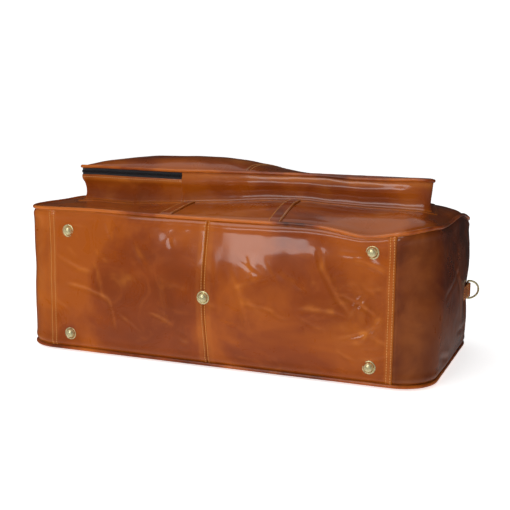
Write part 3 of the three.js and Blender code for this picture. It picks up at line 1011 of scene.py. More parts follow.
@dataclass(frozen=True)
class BagForm:
    """The loosely stuffed bag: where its seams run and how its leather swells and sinks."""

    outline: Outline = Outline(-0.320, 0.320, BASE_Y, TOP_Y, 0.052, 0.060)
    pocket: Outline = Outline(-0.275, 0.298, -0.142, 0.025, 0.014, 0.030, 0.14)
    front: float = 0.217
    back_seam: float = 0.0053
    slope_from: float = -0.097
    slope_over: float = 0.185
    slope_drop: float = 0.0294
    end_bulge: float = 0.0125
    base_bulge: float = 0.0170
    base_creases: tuple[Crease, ...] = (
        Crease((-0.238, 0.106), (-0.160, 0.088), 0.0009, 0.0026, 0.003),
        Crease((-0.165, 0.094), (-0.156, 0.046), 0.0007, 0.0022, 0.002),
        Crease((-0.262, 0.150), (-0.190, 0.128), 0.0005, 0.0030, -0.004),
        Crease((0.160, 0.190), (0.166, 0.160), 0.0005, 0.0032, 0.002),
        Crease((0.161, 0.178), (0.208, 0.100), 0.0008, 0.0028, -0.004),
        Crease((0.192, 0.128), (0.246, 0.098), 0.0009, 0.0022, 0.003),
        Crease((0.208, 0.090), (0.232, 0.130), 0.0008, 0.0020, 0.002),
        Crease((0.199, 0.066), (0.252, 0.088), 0.0009, 0.0022, -0.002),
        Crease((0.226, 0.060), (0.252, 0.104), 0.0006, 0.0018),
        Crease((0.138, 0.102), (0.204, 0.097), 0.0005, 0.0026, 0.003),
        Crease((0.212, 0.176), (0.256, 0.160), 0.0008, 0.0026, 0.002),
        Crease((0.034, 0.150), (0.060, 0.062), 0.0005, 0.0034, 0.004),
    ) + scatter(31, 34, (-0.255, 0.03), (0.255, 0.20), -0.7, (0.015, 0.055)) + scatter(
        32, 14, (0.13, 0.04), (0.255, 0.15), 0.5, (0.015, 0.045))
    end_creases: tuple[Crease, ...] = (
        Crease((-0.196, 0.040), (-0.120, 0.022), 0.0012, 0.0045),
        Crease((-0.150, 0.180), (-0.060, 0.060), 0.0010, 0.0060, 0.006),
        Crease((-0.185, 0.120), (-0.100, 0.150), 0.0007, 0.0040),
        Crease((-0.080, 0.050), (0.040, 0.036), 0.0011, 0.0050),
        Crease((-0.040, 0.196), (0.030, 0.160), 0.0010, 0.0040),
    ) + scatter(33, 18, (-0.20, 0.03), (0.04, 0.19), 1.0, (0.02, 0.07))
    slow: Cloud = Cloud(11)
    quick: Cloud = Cloud(12)

    def level(self, y: Array) -> Array:
        """The front panel's height before it swells: it sinks towards the mouth."""
        return self.front - self.slope_drop * (
            np.maximum(0, y - self.slope_from) / self.slope_over) ** 2

    def lift(self, x: Array, y: Array) -> Array:
        """How far the front seam has wandered from its level place."""
        base = (0.0035 + 0.002 * bump(x, -0.2, 0.08) - 0.0105 * bump(x, 0.228, 0.045))
        right = 0.0030 + 0.0036 * bump(y, -0.215, 0.04) + 0.0042 * bump(y, -0.02, 0.06)
        end = np.where(x > 0, right, 0.0022 - 0.002 * bump(y, -0.10, 0.05))
        at_end = smooth(np.abs(x), 0.285, 0.318)
        low = 1 - smooth(y, -0.237, -0.15)
        return (base * low + 0.002 * (1 - low)) * (1 - at_end) + end * at_end

    def front_seam(self, x: Array, y: Array) -> Array:
        """Height of the seam between the front panel and the gusset."""
        return self.level(y) + self.lift(x, y)

    def front_face(self, x: Array, y: Array) -> Array:
        """Height of the front panel's outer face."""
        inside = np.maximum(self.outline.inside(x, y), 0)
        stations = ((-0.32, 0.009), (-0.26, 0.0095), (-0.193, 0.006), (-0.098, 0.0125),
                    (-0.006, 0.0205), (0.0425, 0.0245), (0.101, 0.0285), (0.156, 0.025),
                    (0.209, 0.022), (0.274, 0.023), (0.32, 0.026))
        full = through(x, stations, 0.02, 5)
        full = full * (1 - 0.35 * smooth(y, -0.02, 0.08))
        width = 0.045 - 0.021 * smooth(x, 0.22, 0.30)
        crown = full * (1 - np.exp(-(inside / width) ** 1.3))
        edge = self.lift(x, y) * np.exp(-(inside / 0.030) ** 2)
        place = np.stack([x, y, np.zeros_like(x)], -1)
        ripple = (0.0009 * self.slow.at(place, 0.055) + 0.0004 * self.quick.at(place, 0.021))
        groove = -0.0030 * bump(inside, 0.0, 0.0045) + 0.0006 * bump(inside, 0.011, 0.006)
        return self.level(y) + crown + edge + groove + ripple * smooth(inside, 0, 0.02)

    def back_face(self, x: Array, y: Array) -> Array:
        """Height of the back panel's outer face, which rests on the floor."""
        inside = np.maximum(self.outline.inside(x, y), 0)
        place = np.stack([x, y, np.zeros_like(x)], -1)
        ripple = 0.0006 * self.slow.at(place + 0.4, 0.06) + 0.0002 * self.quick.at(place, 0.02)
        return (0.0026 + 0.0030 * np.exp(-(inside / 0.012) ** 1.5)
                + np.maximum(ripple, -0.0003) * smooth(inside, 0, 0.02))

    def swell(self, s: Array, t: Array, xy: Array, z: Array) -> tuple[Array, Array]:
        """How far the gusset stands out from its outline, and how stretched it is there.

        Args:
            s: arc length along the outline.
            t: from 0 at the back seam to 1 at the front seam.
            xy: the outline's points.
            z: height of the point.

        Returns:
            The offset in metres and the stretch from 0 to 1.
        """
        a = np.abs((s + self.outline.marks()[-1]) % (2 * self.outline.marks()[-1])
                   - self.outline.marks()[-1])
        x, y = xy[..., 0], xy[..., 1]
        arch = np.sin(math.pi * np.clip(t, 0, 1)) ** 0.8
        on_base = 1 - smooth(a, 0.250, 0.300)
        on_end = smooth(a, 0.255, 0.44) * (1 - smooth(a, 0.50, 0.66))
        on_top = smooth(a, 0.62, 0.67)
        ring = bump(y, 0.012, 0.040) * bump(z, 0.0945, 0.034)
        bulge = self.end_bulge * on_end * arch * (1 - 0.97 * np.clip(ring, 0, 1))
        bulge = bulge * np.where(x < 0, 0.55, 1.0)
        bulge = bulge - 0.006 * np.where(x < 0, 1, 0) * on_end * bump(z, 0.13, 0.03) * (1 - ring)
        full = np.clip(1 - ((x - CENTRE_SEAM_X) / 0.262) ** 2, 0, 1)
        base = self.base_bulge * on_base * full * np.sin(math.pi * np.clip(t, 0, 1)) ** 1.1
        spot = raised(xy, z)
        waves = (0.0016 * self.slow.at(spot, 0.085) + 0.0007 * self.slow.at(spot + 1, 0.034)
                 + 0.00022 * self.quick.at(spot, 0.013))
        free = (1 - on_top) * smooth(np.minimum(t, 1 - t), 0, 0.08)
        near_seam = np.minimum(t, 1 - t) * 0.212
        pinch = -0.0026 * bump(near_seam, 0, 0.0042)
        puff = 0.0010 * bump(near_seam, 0.010, 0.005)
        dents = np.zeros_like(bulge)
        for foot_x, foot_z in FOOT_PLACES:
            away = np.hypot(x - foot_x, z - foot_z) + 10 * smooth(a, 0.27, 0.275)
            dents = dents - 0.0016 * bump(away, 0, 0.013)
        folds, pull = np.zeros_like(bulge), 0.28 * bump(near_seam, 0.0, 0.006)
        worn = 0.25 + 0.75 * smooth(self.quick.at(spot, 0.011), -0.3, 0.7)
        for crease in self.base_creases:
            height, stretch = crease.shape(x, z)
            folds = folds + height * on_base
            pull = pull + stretch * on_base * 0.55 * worn * min(1.0, crease.depth / 0.0006)
        for crease in self.end_creases:
            height, stretch = crease.shape(y, z)
            folds = folds + height * on_end * smooth(a, 0.33, 0.36)
            pull = pull + stretch * on_end * 0.2 * worn
        pull = pull + on_base * 0.7 * worn * bump(x, -0.135, 0.016) * bump(z, 0.122, 0.010)
        pull = pull + on_base * 0.35 * worn * bump(x, 0.222, 0.045) * bump(z, 0.098, 0.040)
        pull = pull + 0.55 * bump(a, 0.297, 0.022) * (0.6 + 0.4 * self.slow.at(spot, 0.05))
        out = bulge + base + waves * free + pinch + puff + dents + folds * free
        return out, np.clip(pull, 0, 1)

    def band(self, s: Array, t: Array, proud: Array = 0.0) -> tuple[Array, Array]:
        """Points (.., 3) of the gusset's outer face and their stretch."""
        s, t = np.broadcast_arrays(np.asarray(s, float), np.asarray(t, float))
        xy, normal = self.outline.edge(s)
        z1 = self.front_seam(xy[..., 0], xy[..., 1])
        z = self.back_seam + (z1 - self.back_seam) * t
        out, pull = self.swell(s, t, xy, z)
        flat = xy + normal * (out + proud)[..., None]
        return raised(flat, z), pull


FOOT_PLACES = tuple((x, 0.1085 + z) for x in (-0.2365, 0.2365) for z in (-0.080, 0.080)) + (
    (CENTRE_SEAM_X, 0.1085),)
FORM = BagForm()


def outward(points: Array) -> Array:
    """Unit normals (.., 3) of the bag's outline at points on its gusset."""
    away = 1e-4
    x, y = points[..., 0], points[..., 1]
    inside = FORM.outline.inside
    slope = np.stack([inside(x - away, y) - inside(x + away, y),
                      inside(x, y - away) - inside(x, y + away), np.zeros_like(x)], -1)
    return slope / np.maximum(np.linalg.norm(slope, axis=-1, keepdims=True), 1e-9)


@dataclass(frozen=True)
class Gusset:
    """The band of leather round the bag: two base panels, two ends and the ends of the top.

    Fields: leather thickness, mesh spacing, and how far a lapped edge stands over the next panel.
    """

    thickness: float = 2.4 * MM
    step: float = 1.7 * MM
    lap: float = 1.5 * MM
    rows: tuple[float, float] = (2.0 * MM, 8.0 * MM)

    def panel(self, name: str, s0: float, s1: float, over: tuple[float, float],
              node_name: str, hide: bpy.types.Material = FINISHES[Slot.LEATHER]) -> None:
        """One panel of the band.

        Args:
            name: the piece's name.
            s0: where it starts along the outline.
            s1: where it ends.
            over: how far its first and last edges lie above the band's own face.
            node_name: the solid it stands for.
            hide: its leather.
        """
        count = int(abs(s1 - s0) / self.step) + 1
        s = np.linspace(s0, s1, count)[:, None]
        t = np.linspace(0.0, 1.0, int(0.212 / self.step) + 1)[None, :]
        from_start, from_end = np.abs(s - s0), np.abs(s - s1)
        proud = (over[0] * (1 - smooth(from_start, 0.002, 0.012))
                 + over[1] * (1 - smooth(from_end, 0.002, 0.012)))
        turned = -0.0009 * (bump(from_start, 0, 0.0016) + bump(from_end, 0, 0.0016))
        points, pull = FORM.band(s, t, proud + turned + 0 * t)
        worn = 0 * t + sum(
            0.32 * bump(away, 0, 0.0018)
            + 0.22 * smooth(away, 0.0, 0.002) * (1 - smooth(away, 0.009, 0.013))
            for away in (from_start, from_end))
        piece = sheet(name, Grid(points, flip=s1 < s0, pull=np.clip(pull + worn, 0, 1)),
                      self.thickness, hide, FINISHES[Slot.LINING])
        settle(piece, "bag", Slot.LEATHER, node_name)

    def build(self) -> None:
        """Builds the panels and their seams."""
        gap = 0.35 * MM
        marks = FORM.outline.marks()
        top_seam = marks[2] + FORM.outline.high_radius * math.acos((SEAM_X - 0.260) / 0.060)
        top_end = marks[3] + 0.260 - 0.240
        self.panel("base_panel_left_leather", -SEAM_X - 0.0015, CENTRE_SEAM_X - gap,
                   (self.lap, 0.0), "base_panel_left")
        self.panel("base_panel_right_leather", CENTRE_SEAM_X + gap, SEAM_X + 0.0015,
                   (0.0, self.lap), "base_panel_right")
        for end, side in ENDS:
            # The right end's darker leather is painted shade.
            self.panel(f"end_gusset_{end}_leather", side * (SEAM_X - 0.006),
                       side * (top_seam + 0.006), (-self.lap, -self.lap), f"end_gusset_{end}",
                       SHADED_END_HIDE if side > 0 else FINISHES[Slot.LEATHER])
            self.panel(f"top_end_{end}_leather", side * (top_seam - 0.001), side * top_end,
                       (self.lap * 0.7, 0.0), f"top_end_{end}")
        self.sew(top_seam)

    def row(self, s: float, proud: float) -> tuple[Array, Array]:
        """A row of stitches across the band at arc length s."""
        t = np.linspace(0.018, 0.982, 110)
        points, _ = FORM.band(np.full_like(t, s), t, proud)
        up = outward(points)
        return points + up * 0.00012, up

    def sew(self, top_seam: float) -> None:
        """Stitches the laps at the ends of the base and top, and both sides of the centre seam."""
        first, second = self.rows
        rows = []
        for side in (-1, 1):
            for back, base_share, top_share in ((first, 0.95, 0.6), (second, 0.25, 0.18)):
                rows.append(self.row(side * (SEAM_X + 0.0015 - back), self.lap * base_share))
                rows.append(self.row(side * (top_seam - 0.001 + back), self.lap * top_share))
        rows += [self.row(CENTRE_SEAM_X + side * 0.0026, 0.0) for side in (-1, 1)]
        settle(SEAMS.sew("gusset_stitching", rows), "bag", Slot.THREAD)


@dataclass(frozen=True)
class Panels:
    """The front and back panels and the piping sewn into their edges."""

    thickness: float = 2.4 * MM
    piping: float = 2.6 * MM
    spine: tuple[float, float, float] = (-0.17, 0.17, -0.075)

    def panel(self, name: str, height: Callable[[Array, Array], Array], flip: bool,
              step: float, node_name: str) -> None:
        """One large panel as rings that shrink onto its middle line."""
        x, y = FORM.outline.rings(self.spine, step, int(0.17 / step), 0.8 * MM)
        z = height(x, y)
        inside = FORM.outline.inside(x, y)
        place = np.stack([x, y, z], -1)
        pull = 0.35 * bump(inside, 0, 0.006) + 0.30 * smooth(FORM.slow.at(place, 0.05), 0.25, 0.9)
        piece = sheet(name, Grid(place, wrap=True, flip=flip, pull=np.clip(pull, 0, 1)),
                      self.thickness, FINISHES[Slot.LEATHER], FINISHES[Slot.LINING], spine=True)
        settle(piece, "bag", Slot.LEATHER, node_name)

    def cord(self, name: str, outline: Outline, height: Callable[[Array, Array], Array],
             step: float = 2.5 * MM) -> bpy.types.Object:
        """Piping round an outline: a leather strip folded over a cord, slightly lumpy."""
        edge, _ = outline.edge(outline.around(step))
        path = raised(edge, height(edge[:, 0], edge[:, 1]))
        radius = self.piping * (1 + 0.06 * FORM.quick.at(path, 0.012))
        return sweep(name, path, radius, radius, (0, 0, 1), FINISHES[Slot.PIPING], closed=True)

    def build(self) -> None:
        """Builds both panels and both lines of piping."""
        self.panel("front_panel_leather", FORM.front_face, False, 3.0 * MM, "front_panel")
        self.panel("back_panel_leather", FORM.back_face, True, 4.5 * MM, "back_panel")
        settle(self.cord("front_piping_leather", FORM.outline, FORM.front_seam),
               "bag", Slot.PIPING, "front_piping")
        settle(self.cord("back_piping_leather", FORM.outline,
                         lambda x, y: np.full_like(x, FORM.back_seam)),
               "bag", Slot.PIPING, "back_piping")


STRAP_X = {"left": 0.009 - 0.085, "right": 0.009 + 0.085}


@dataclass(frozen=True)
class Straps:
    """The four flat straps sewn on the front and back panels, under the handles."""

    width: float = 20.0 * MM
    thickness: float = 1.5 * MM
    stitch_in: float = 2.4 * MM

    def surface(self, side: str, x: Array, y: Array) -> Array:
        """Height of the panel that a strap lies on, with the strap's own thickness added."""
        if side == "front":
            return FORM.front_face(x, y) + self.thickness + 0.3 * MM
        return np.full_like(x, 0.3 * MM)

    def run(self, name: str, side: str, x: float, y0: float, y1: float,
            *nodes: str) -> list[tuple[Array, Array]]:
        """One length of strap, and the rows of its stitches."""
        u = np.linspace(y0, y1, int((y1 - y0) / (2.5 * MM)))
        v = np.linspace(-self.width / 2, self.width / 2, 13)
        yy, xx = np.meshgrid(u, x + v, indexing="ij")
        edge = np.abs(xx - x) / (self.width / 2)
        z = self.surface(side, np.clip(xx, -FRONT_END, FRONT_END), np.clip(yy, -0.236, TOP_Y))
        round_over = 0.0006 * smooth(edge, 0.84, 1.0)
        up = 1.0 if side == "front" else -1.0
        points = np.stack([xx, yy, z - up * round_over], -1)
        pull = 0.5 * smooth(edge, 0.8, 1.0)
        piece = sheet(name, Grid(points, flip=(side == "front"), pull=pull), self.thickness,
                      FINISHES[Slot.STRAP])
        settle(piece, "bag", Slot.STRAP, *nodes)
        rows = []
        for way in (-1, 1):
            line = np.full_like(u, x + way * (self.width / 2 - self.stitch_in))
            height = self.surface(side, line, np.clip(u, -0.236, TOP_Y)) - up * 0.0001
            rows.append((np.stack([line, u, height], -1)[1:-1], np.array([0, 0, up])))
        return rows

    def build(self) -> None:
        """Builds the four straps; the pocket covers the middle of the front ones."""
        rows = []
        for end, x in STRAP_X.items():
            rows += self.run(f"front_strap_{end}_low", "front", x, -0.2345, -0.139,
                             f"front_strap_{end}")
            rows += self.run(f"front_strap_{end}_high", "front", x, 0.021, 0.0885)
            rows += self.run(f"back_strap_{end}_leather", "back", x, -0.2300, 0.0885,
                             f"back_strap_{end}")
        settle(SEAMS.sew("strap_stitching", rows), "bag", Slot.THREAD)


@dataclass(frozen=True)
class Pocket:
    """The raised front pocket: its walls, swelling face, piping and the zip round one end.

    Fields: sizes of the leather, where the face's centre seam runs, where the zip starts on the
    near wall and ends on the far one, and the fold that the opened face turns about.
    """

    thickness: float = 2.0 * MM
    piping: float = 2.6 * MM
    seam_x: float = 0.0155
    zip_start: float = -0.091
    zip_end: float = 0.248
    slope: float = 0.093
    fold: tuple[float, float] = (-0.091, -0.142)
    across: tuple[float, float] = (-0.4766, 0.8791)
    fold_half: float = 15.0 * MM
    tape: float = 11.5 * MM
    coil: float = 1.7 * MM

    def rim(self, x: Array, y: Array) -> Array:
        """Height of the middle of the piping round the face."""
        stations = ((-0.27, 0.2780), (-0.244, 0.2788), (-0.17, 0.2782), (-0.098, 0.2778),
                    (-0.05, 0.2790), (0.042, 0.2800), (0.10, 0.2803), (0.141, 0.2802),
                    (0.182, 0.2776), (0.2335, 0.2784), (0.285, 0.2806), (0.30, 0.2792))
        near = through(x, stations, 0.012, 3)
        return near + (0.2805 - near) * smooth(y, -0.10, 0.0) - self.slope * (y + 0.142)

    def point(self, s: Array) -> tuple[Array, Array]:
        """Plan points and normals of the pocket's outline."""
        return FORM.pocket.edge(s)

    def wall_point(self, s: Array, h: Array, top: Array, zipped: bool) -> tuple[Array, Array]:
        """Points of the wall, h from 0 at the panel to 1 at the top."""
        s, h = np.broadcast_arrays(s, h)
        xy, normal = self.point(s)
        x, y = xy[..., 0], xy[..., 1]
        foot = FORM.front_face(x, y)
        z = foot + (top - foot) * h
        hollow = 0.0026 + 0.0030 * (1 - smooth(x, -0.26, -0.16))
        hollow = hollow + 0.0016 * FORM.slow.at(np.stack([x, y, 0 * x], -1), 0.07)
        inward = hollow * np.sin(math.pi * np.clip(h, 0, 1) ** 0.72) ** 0.9
        outward_foot = 0.0016 * np.exp(-h / 0.06)
        spot = np.stack([x, y, z], -1)
        ripple = 0.0008 * FORM.quick.at(spot, 0.030) + 0.0003 * FORM.quick.at(spot, 0.012)
        roll = ((0.0038 - 0.0030 * smooth(x, 0.25, 0.285)) * bump(h, 0.63, 0.21) if not zipped
                else 0.0020 * bump(h, 0.86, 0.12))
        out = -inward + outward_foot + roll + ripple * np.sin(math.pi * np.clip(h, 0, 1))
        flat = xy + normal * out[..., None]
        pull = (0.45 * bump(h, 0.88, 0.10) + 0.4 * bump(h, 0.02, 0.05)
                + 0.2 * smooth(ripple, 0, 0.001))
        return raised(flat, z), np.clip(pull, 0, 1)

    def zip_bottom(self, x: Array, y: Array) -> Array:
        """Height of the lower edge of the zip."""
        return self.rim(x, y) - 0.0022 - self.tape

    def ends(self) -> tuple[float, float]:
        """Arc lengths where the zip starts and ends, going round the pocket's left end."""
        marks = FORM.pocket.marks()
        middle = (FORM.pocket.x0 + FORM.pocket.x1) / 2
        far = np.linspace(marks[2], marks[3], 200)
        edge, _ = FORM.pocket.edge(far)
        end = far[int(np.argmin(np.abs(edge[:, 0] - self.zip_end)))]
        return self.zip_start - middle, -(2 * marks[-1] - float(end))

    def wall(self, name: str, s0: float, s1: float, zipped: bool, node_name: str) -> None:
        """A stretch of wall between two arc lengths."""
        s = np.linspace(s0, s1, int(abs(s1 - s0) / (2.2 * MM)))[:, None]
        h = np.linspace(0, 1, 24)[None, :]
        xy, _ = self.point(s)
        x, y = xy[..., 0], xy[..., 1]
        top = self.zip_bottom(x, y) if zipped else self.rim(x, y) - 0.0012
        points, pull = self.wall_point(s, h, top, zipped)
        piece = sheet(name, Grid(points, flip=s1 < s0, pull=pull), self.thickness,
                      FINISHES[Slot.LEATHER], FINISHES[Slot.LINING])
        settle(piece, "bag", Slot.LEATHER, node_name)

    def face_height(self, x: Array, y: Array) -> Array:
        """Height of the face's outer side: full over the zipped end, slack at the other."""
        inside = np.maximum(FORM.pocket.inside(x, y), 0)
        stations = ((-0.267, 0.006), (-0.25, 0.013), (-0.184, 0.0205), (-0.091, 0.0240),
                    (-0.033, 0.0220), (-0.005, 0.0180), (0.023, 0.0115), (0.05, 0.0045),
                    (0.10, -0.0010), (0.20, -0.0022), (0.298, 0.0005))
        crown = through(x, stations, 0.016, 5)
        shape = 1 - np.exp(-(inside / 0.026) ** 1.2)
        spot = np.stack([x, y, 0 * x], -1)
        ripple = 0.0011 * FORM.slow.at(spot + 2, 0.06) + 0.0005 * FORM.quick.at(spot, 0.024)
        seam = (-0.0009 * bump(x, self.seam_x, 0.0016)
                + 0.0004 * bump(np.abs(x - self.seam_x), 0.006, 0.003))
        groove = -0.0022 * bump(inside, 0.0015, 0.0038)
        swell = crown * shape + ripple * smooth(inside, 0, 0.03)
        return self.rim(x, y) + 0.0008 + swell + seam + groove

    def bend(self, piece: bpy.types.Object, slot: Slot, *nodes: str) -> None:
        """Passes a piece to bend with the two ends of the opened face's fold line."""
        near, far = [
            (self.fold[0] + way * self.across[0] * self.fold_half,
             self.fold[1] + way * self.across[1] * self.fold_half,
             0.2838 - way * self.across[1] * self.fold_half * self.slope) for way in (-1, 1)]
        bend(piece, ("bag", "pocket_lid"), near, far, slot, *nodes)

    def face(self) -> None:
        """The face, in one sheet with a sewn seam across its middle."""
        x, y = FORM.pocket.rings((-0.20, 0.235, -0.0585), 2.6 * MM, 34, 0.6 * MM)
        z = self.face_height(x, y)
        place = np.stack([x, y, z], -1)
        inside = FORM.pocket.inside(x, y)
        pull = 0.5 * bump(inside, 0, 0.004) + 0.45 * smooth(FORM.slow.at(place, 0.04), 0.2, 0.9)
        piece = sheet("pocket_face_leather", Grid(place, wrap=True, pull=np.clip(pull, 0, 1)),
                      self.thickness, FINISHES[Slot.LEATHER], FINISHES[Slot.LINING], spine=True)
        self.bend(piece, Slot.LEATHER, "pocket_face", "pocket_lid")
        rows = []
        for way in (-1, 1):
            line_y = np.linspace(-0.136, 0.019, 80)
            line_x = np.full_like(line_y, self.seam_x + way * 0.0028)
            rows.append((np.stack([line_x, line_y, self.face_height(line_x, line_y)], -1),
                         UP))
        self.bend(SEAMS.sew("pocket_face_stitching", rows), Slot.THREAD)

    def cord(self) -> None:
        """The piping round the face."""
        edge, _ = self.point(FORM.pocket.around(2.0 * MM))
        path = raised(edge, self.rim(edge[:, 0], edge[:, 1]))
        radius = self.piping * (1 + 0.06 * FORM.quick.at(path, 0.010))
        piece = sweep("pocket_piping_leather", path, radius, radius, (0, 0, 1),
                      FINISHES[Slot.PIPING], closed=True)
        self.bend(piece, Slot.PIPING, "pocket_piping", "pocket_lid_piping")

    def strip(self, name: str, low: float, high: float) -> bpy.types.Object:
        """Half of the zip's tape, between two shares of its width."""
        start, end = self.ends()
        s = np.linspace(start, end, int(abs(end - start) / (2.2 * MM)))[:, None]
        share = np.linspace(low, high, 6)[None, :]
        s, share = np.broadcast_arrays(s, share)
        xy, normal = self.point(s)
        x, y = xy[..., 0], xy[..., 1]
        bottom = self.zip_bottom(x, y)
        z = bottom + share * (self.tape + 0.0016) - 0.0008
        flat = xy - normal * 0.0006
        return sheet(name, Grid(raised(flat, z), flip=True), 0.8 * MM, FINISHES[Slot.TAPE])

    def teeth(self, name: str, away: float) -> bpy.types.Object:
        """One side of the zip's coil."""
        start, end = self.ends()
        s = np.linspace(start, end, int(abs(end - start) / (3 * MM)))
        xy, normal = self.point(s)
        x, y = xy[:, 0], xy[:, 1]
        z = self.zip_bottom(x, y) + self.tape / 2 + away
        flat = xy - normal * 0.0001
        return ROWS.make(name, [(raised(flat, z), raised(normal, 0 * z))], self.coil, 1.15 * MM,
                         2.6 * MM, 1.5 * MM, FINISHES[Slot.TEETH])

    def sew(self) -> None:
        """Stitches the foot of the wall to the panel, and the wall's edge under the zip."""
        marks = FORM.pocket.marks()
        s = np.linspace(-marks[-1], marks[-1], 420)
        xy, normal = self.point(s)
        foot_xy = xy + normal * 0.0052
        foot_z = FORM.front_face(foot_xy[:, 0], foot_xy[:, 1]) + 0.0001
        rows = [(raised(foot_xy, foot_z), UP)]
        start, end = self.ends()
        s = np.linspace(start, end, 300)
        xy, normal = self.point(s)
        h = np.full_like(s, 0.93)
        top = self.zip_bottom(xy[:, 0], xy[:, 1])
        points, _ = self.wall_point(s, h, top, True)
        rows.append((points, raised(normal, 0 * s)))
        settle(SEAMS.sew("pocket_wall_stitching", rows), "bag", Slot.THREAD)

    def welt(self) -> None:
        """The narrow leather flange that turns out at the foot of the wall."""
        s = FORM.pocket.around(2.4 * MM)[:, None]
        v = np.linspace(0, 1, 7)[None, :]
        s, v = np.broadcast_arrays(s, v)
        xy, normal = self.point(s)
        plan = xy + normal * (0.0008 + 0.0072 * v)[..., None]
        z = FORM.front_face(plan[..., 0], plan[..., 1]) + 0.0016 - 0.0012 * v**4
        piece = sheet("pocket_foot_flange", Grid(raised(plan, z), wrap=True, flip=True,
                                                 pull=0.4 * v), 1.5 * MM, FINISHES[Slot.LEATHER])
        settle(piece, "bag", Slot.LEATHER)

    def build(self) -> None:
        """Builds the pocket."""
        start, end = self.ends()
        marks = FORM.pocket.marks()
        self.wall("pocket_wall_plain_leather", start, end + 2 * marks[-1], False,
                  "pocket_wall_plain")
        self.wall("pocket_wall_zipped_leather", start, end, True, "pocket_wall_zipped")
        self.welt()
        self.face()
        self.cord()
        settle(self.strip("pocket_lower_tape", 0.0, 0.49), "bag", Slot.TAPE, "pocket_tape_lower")
        self.bend(self.strip("pocket_upper_tape", 0.51, 1.0), Slot.TAPE, "pocket_tape_upper",
                  "pocket_tape_end")
        settle(self.teeth("pocket_lower_coil", -0.0010), "bag", Slot.TEETH)
        self.bend(self.teeth("pocket_upper_coil", 0.0010), Slot.TEETH)
        self.sew()


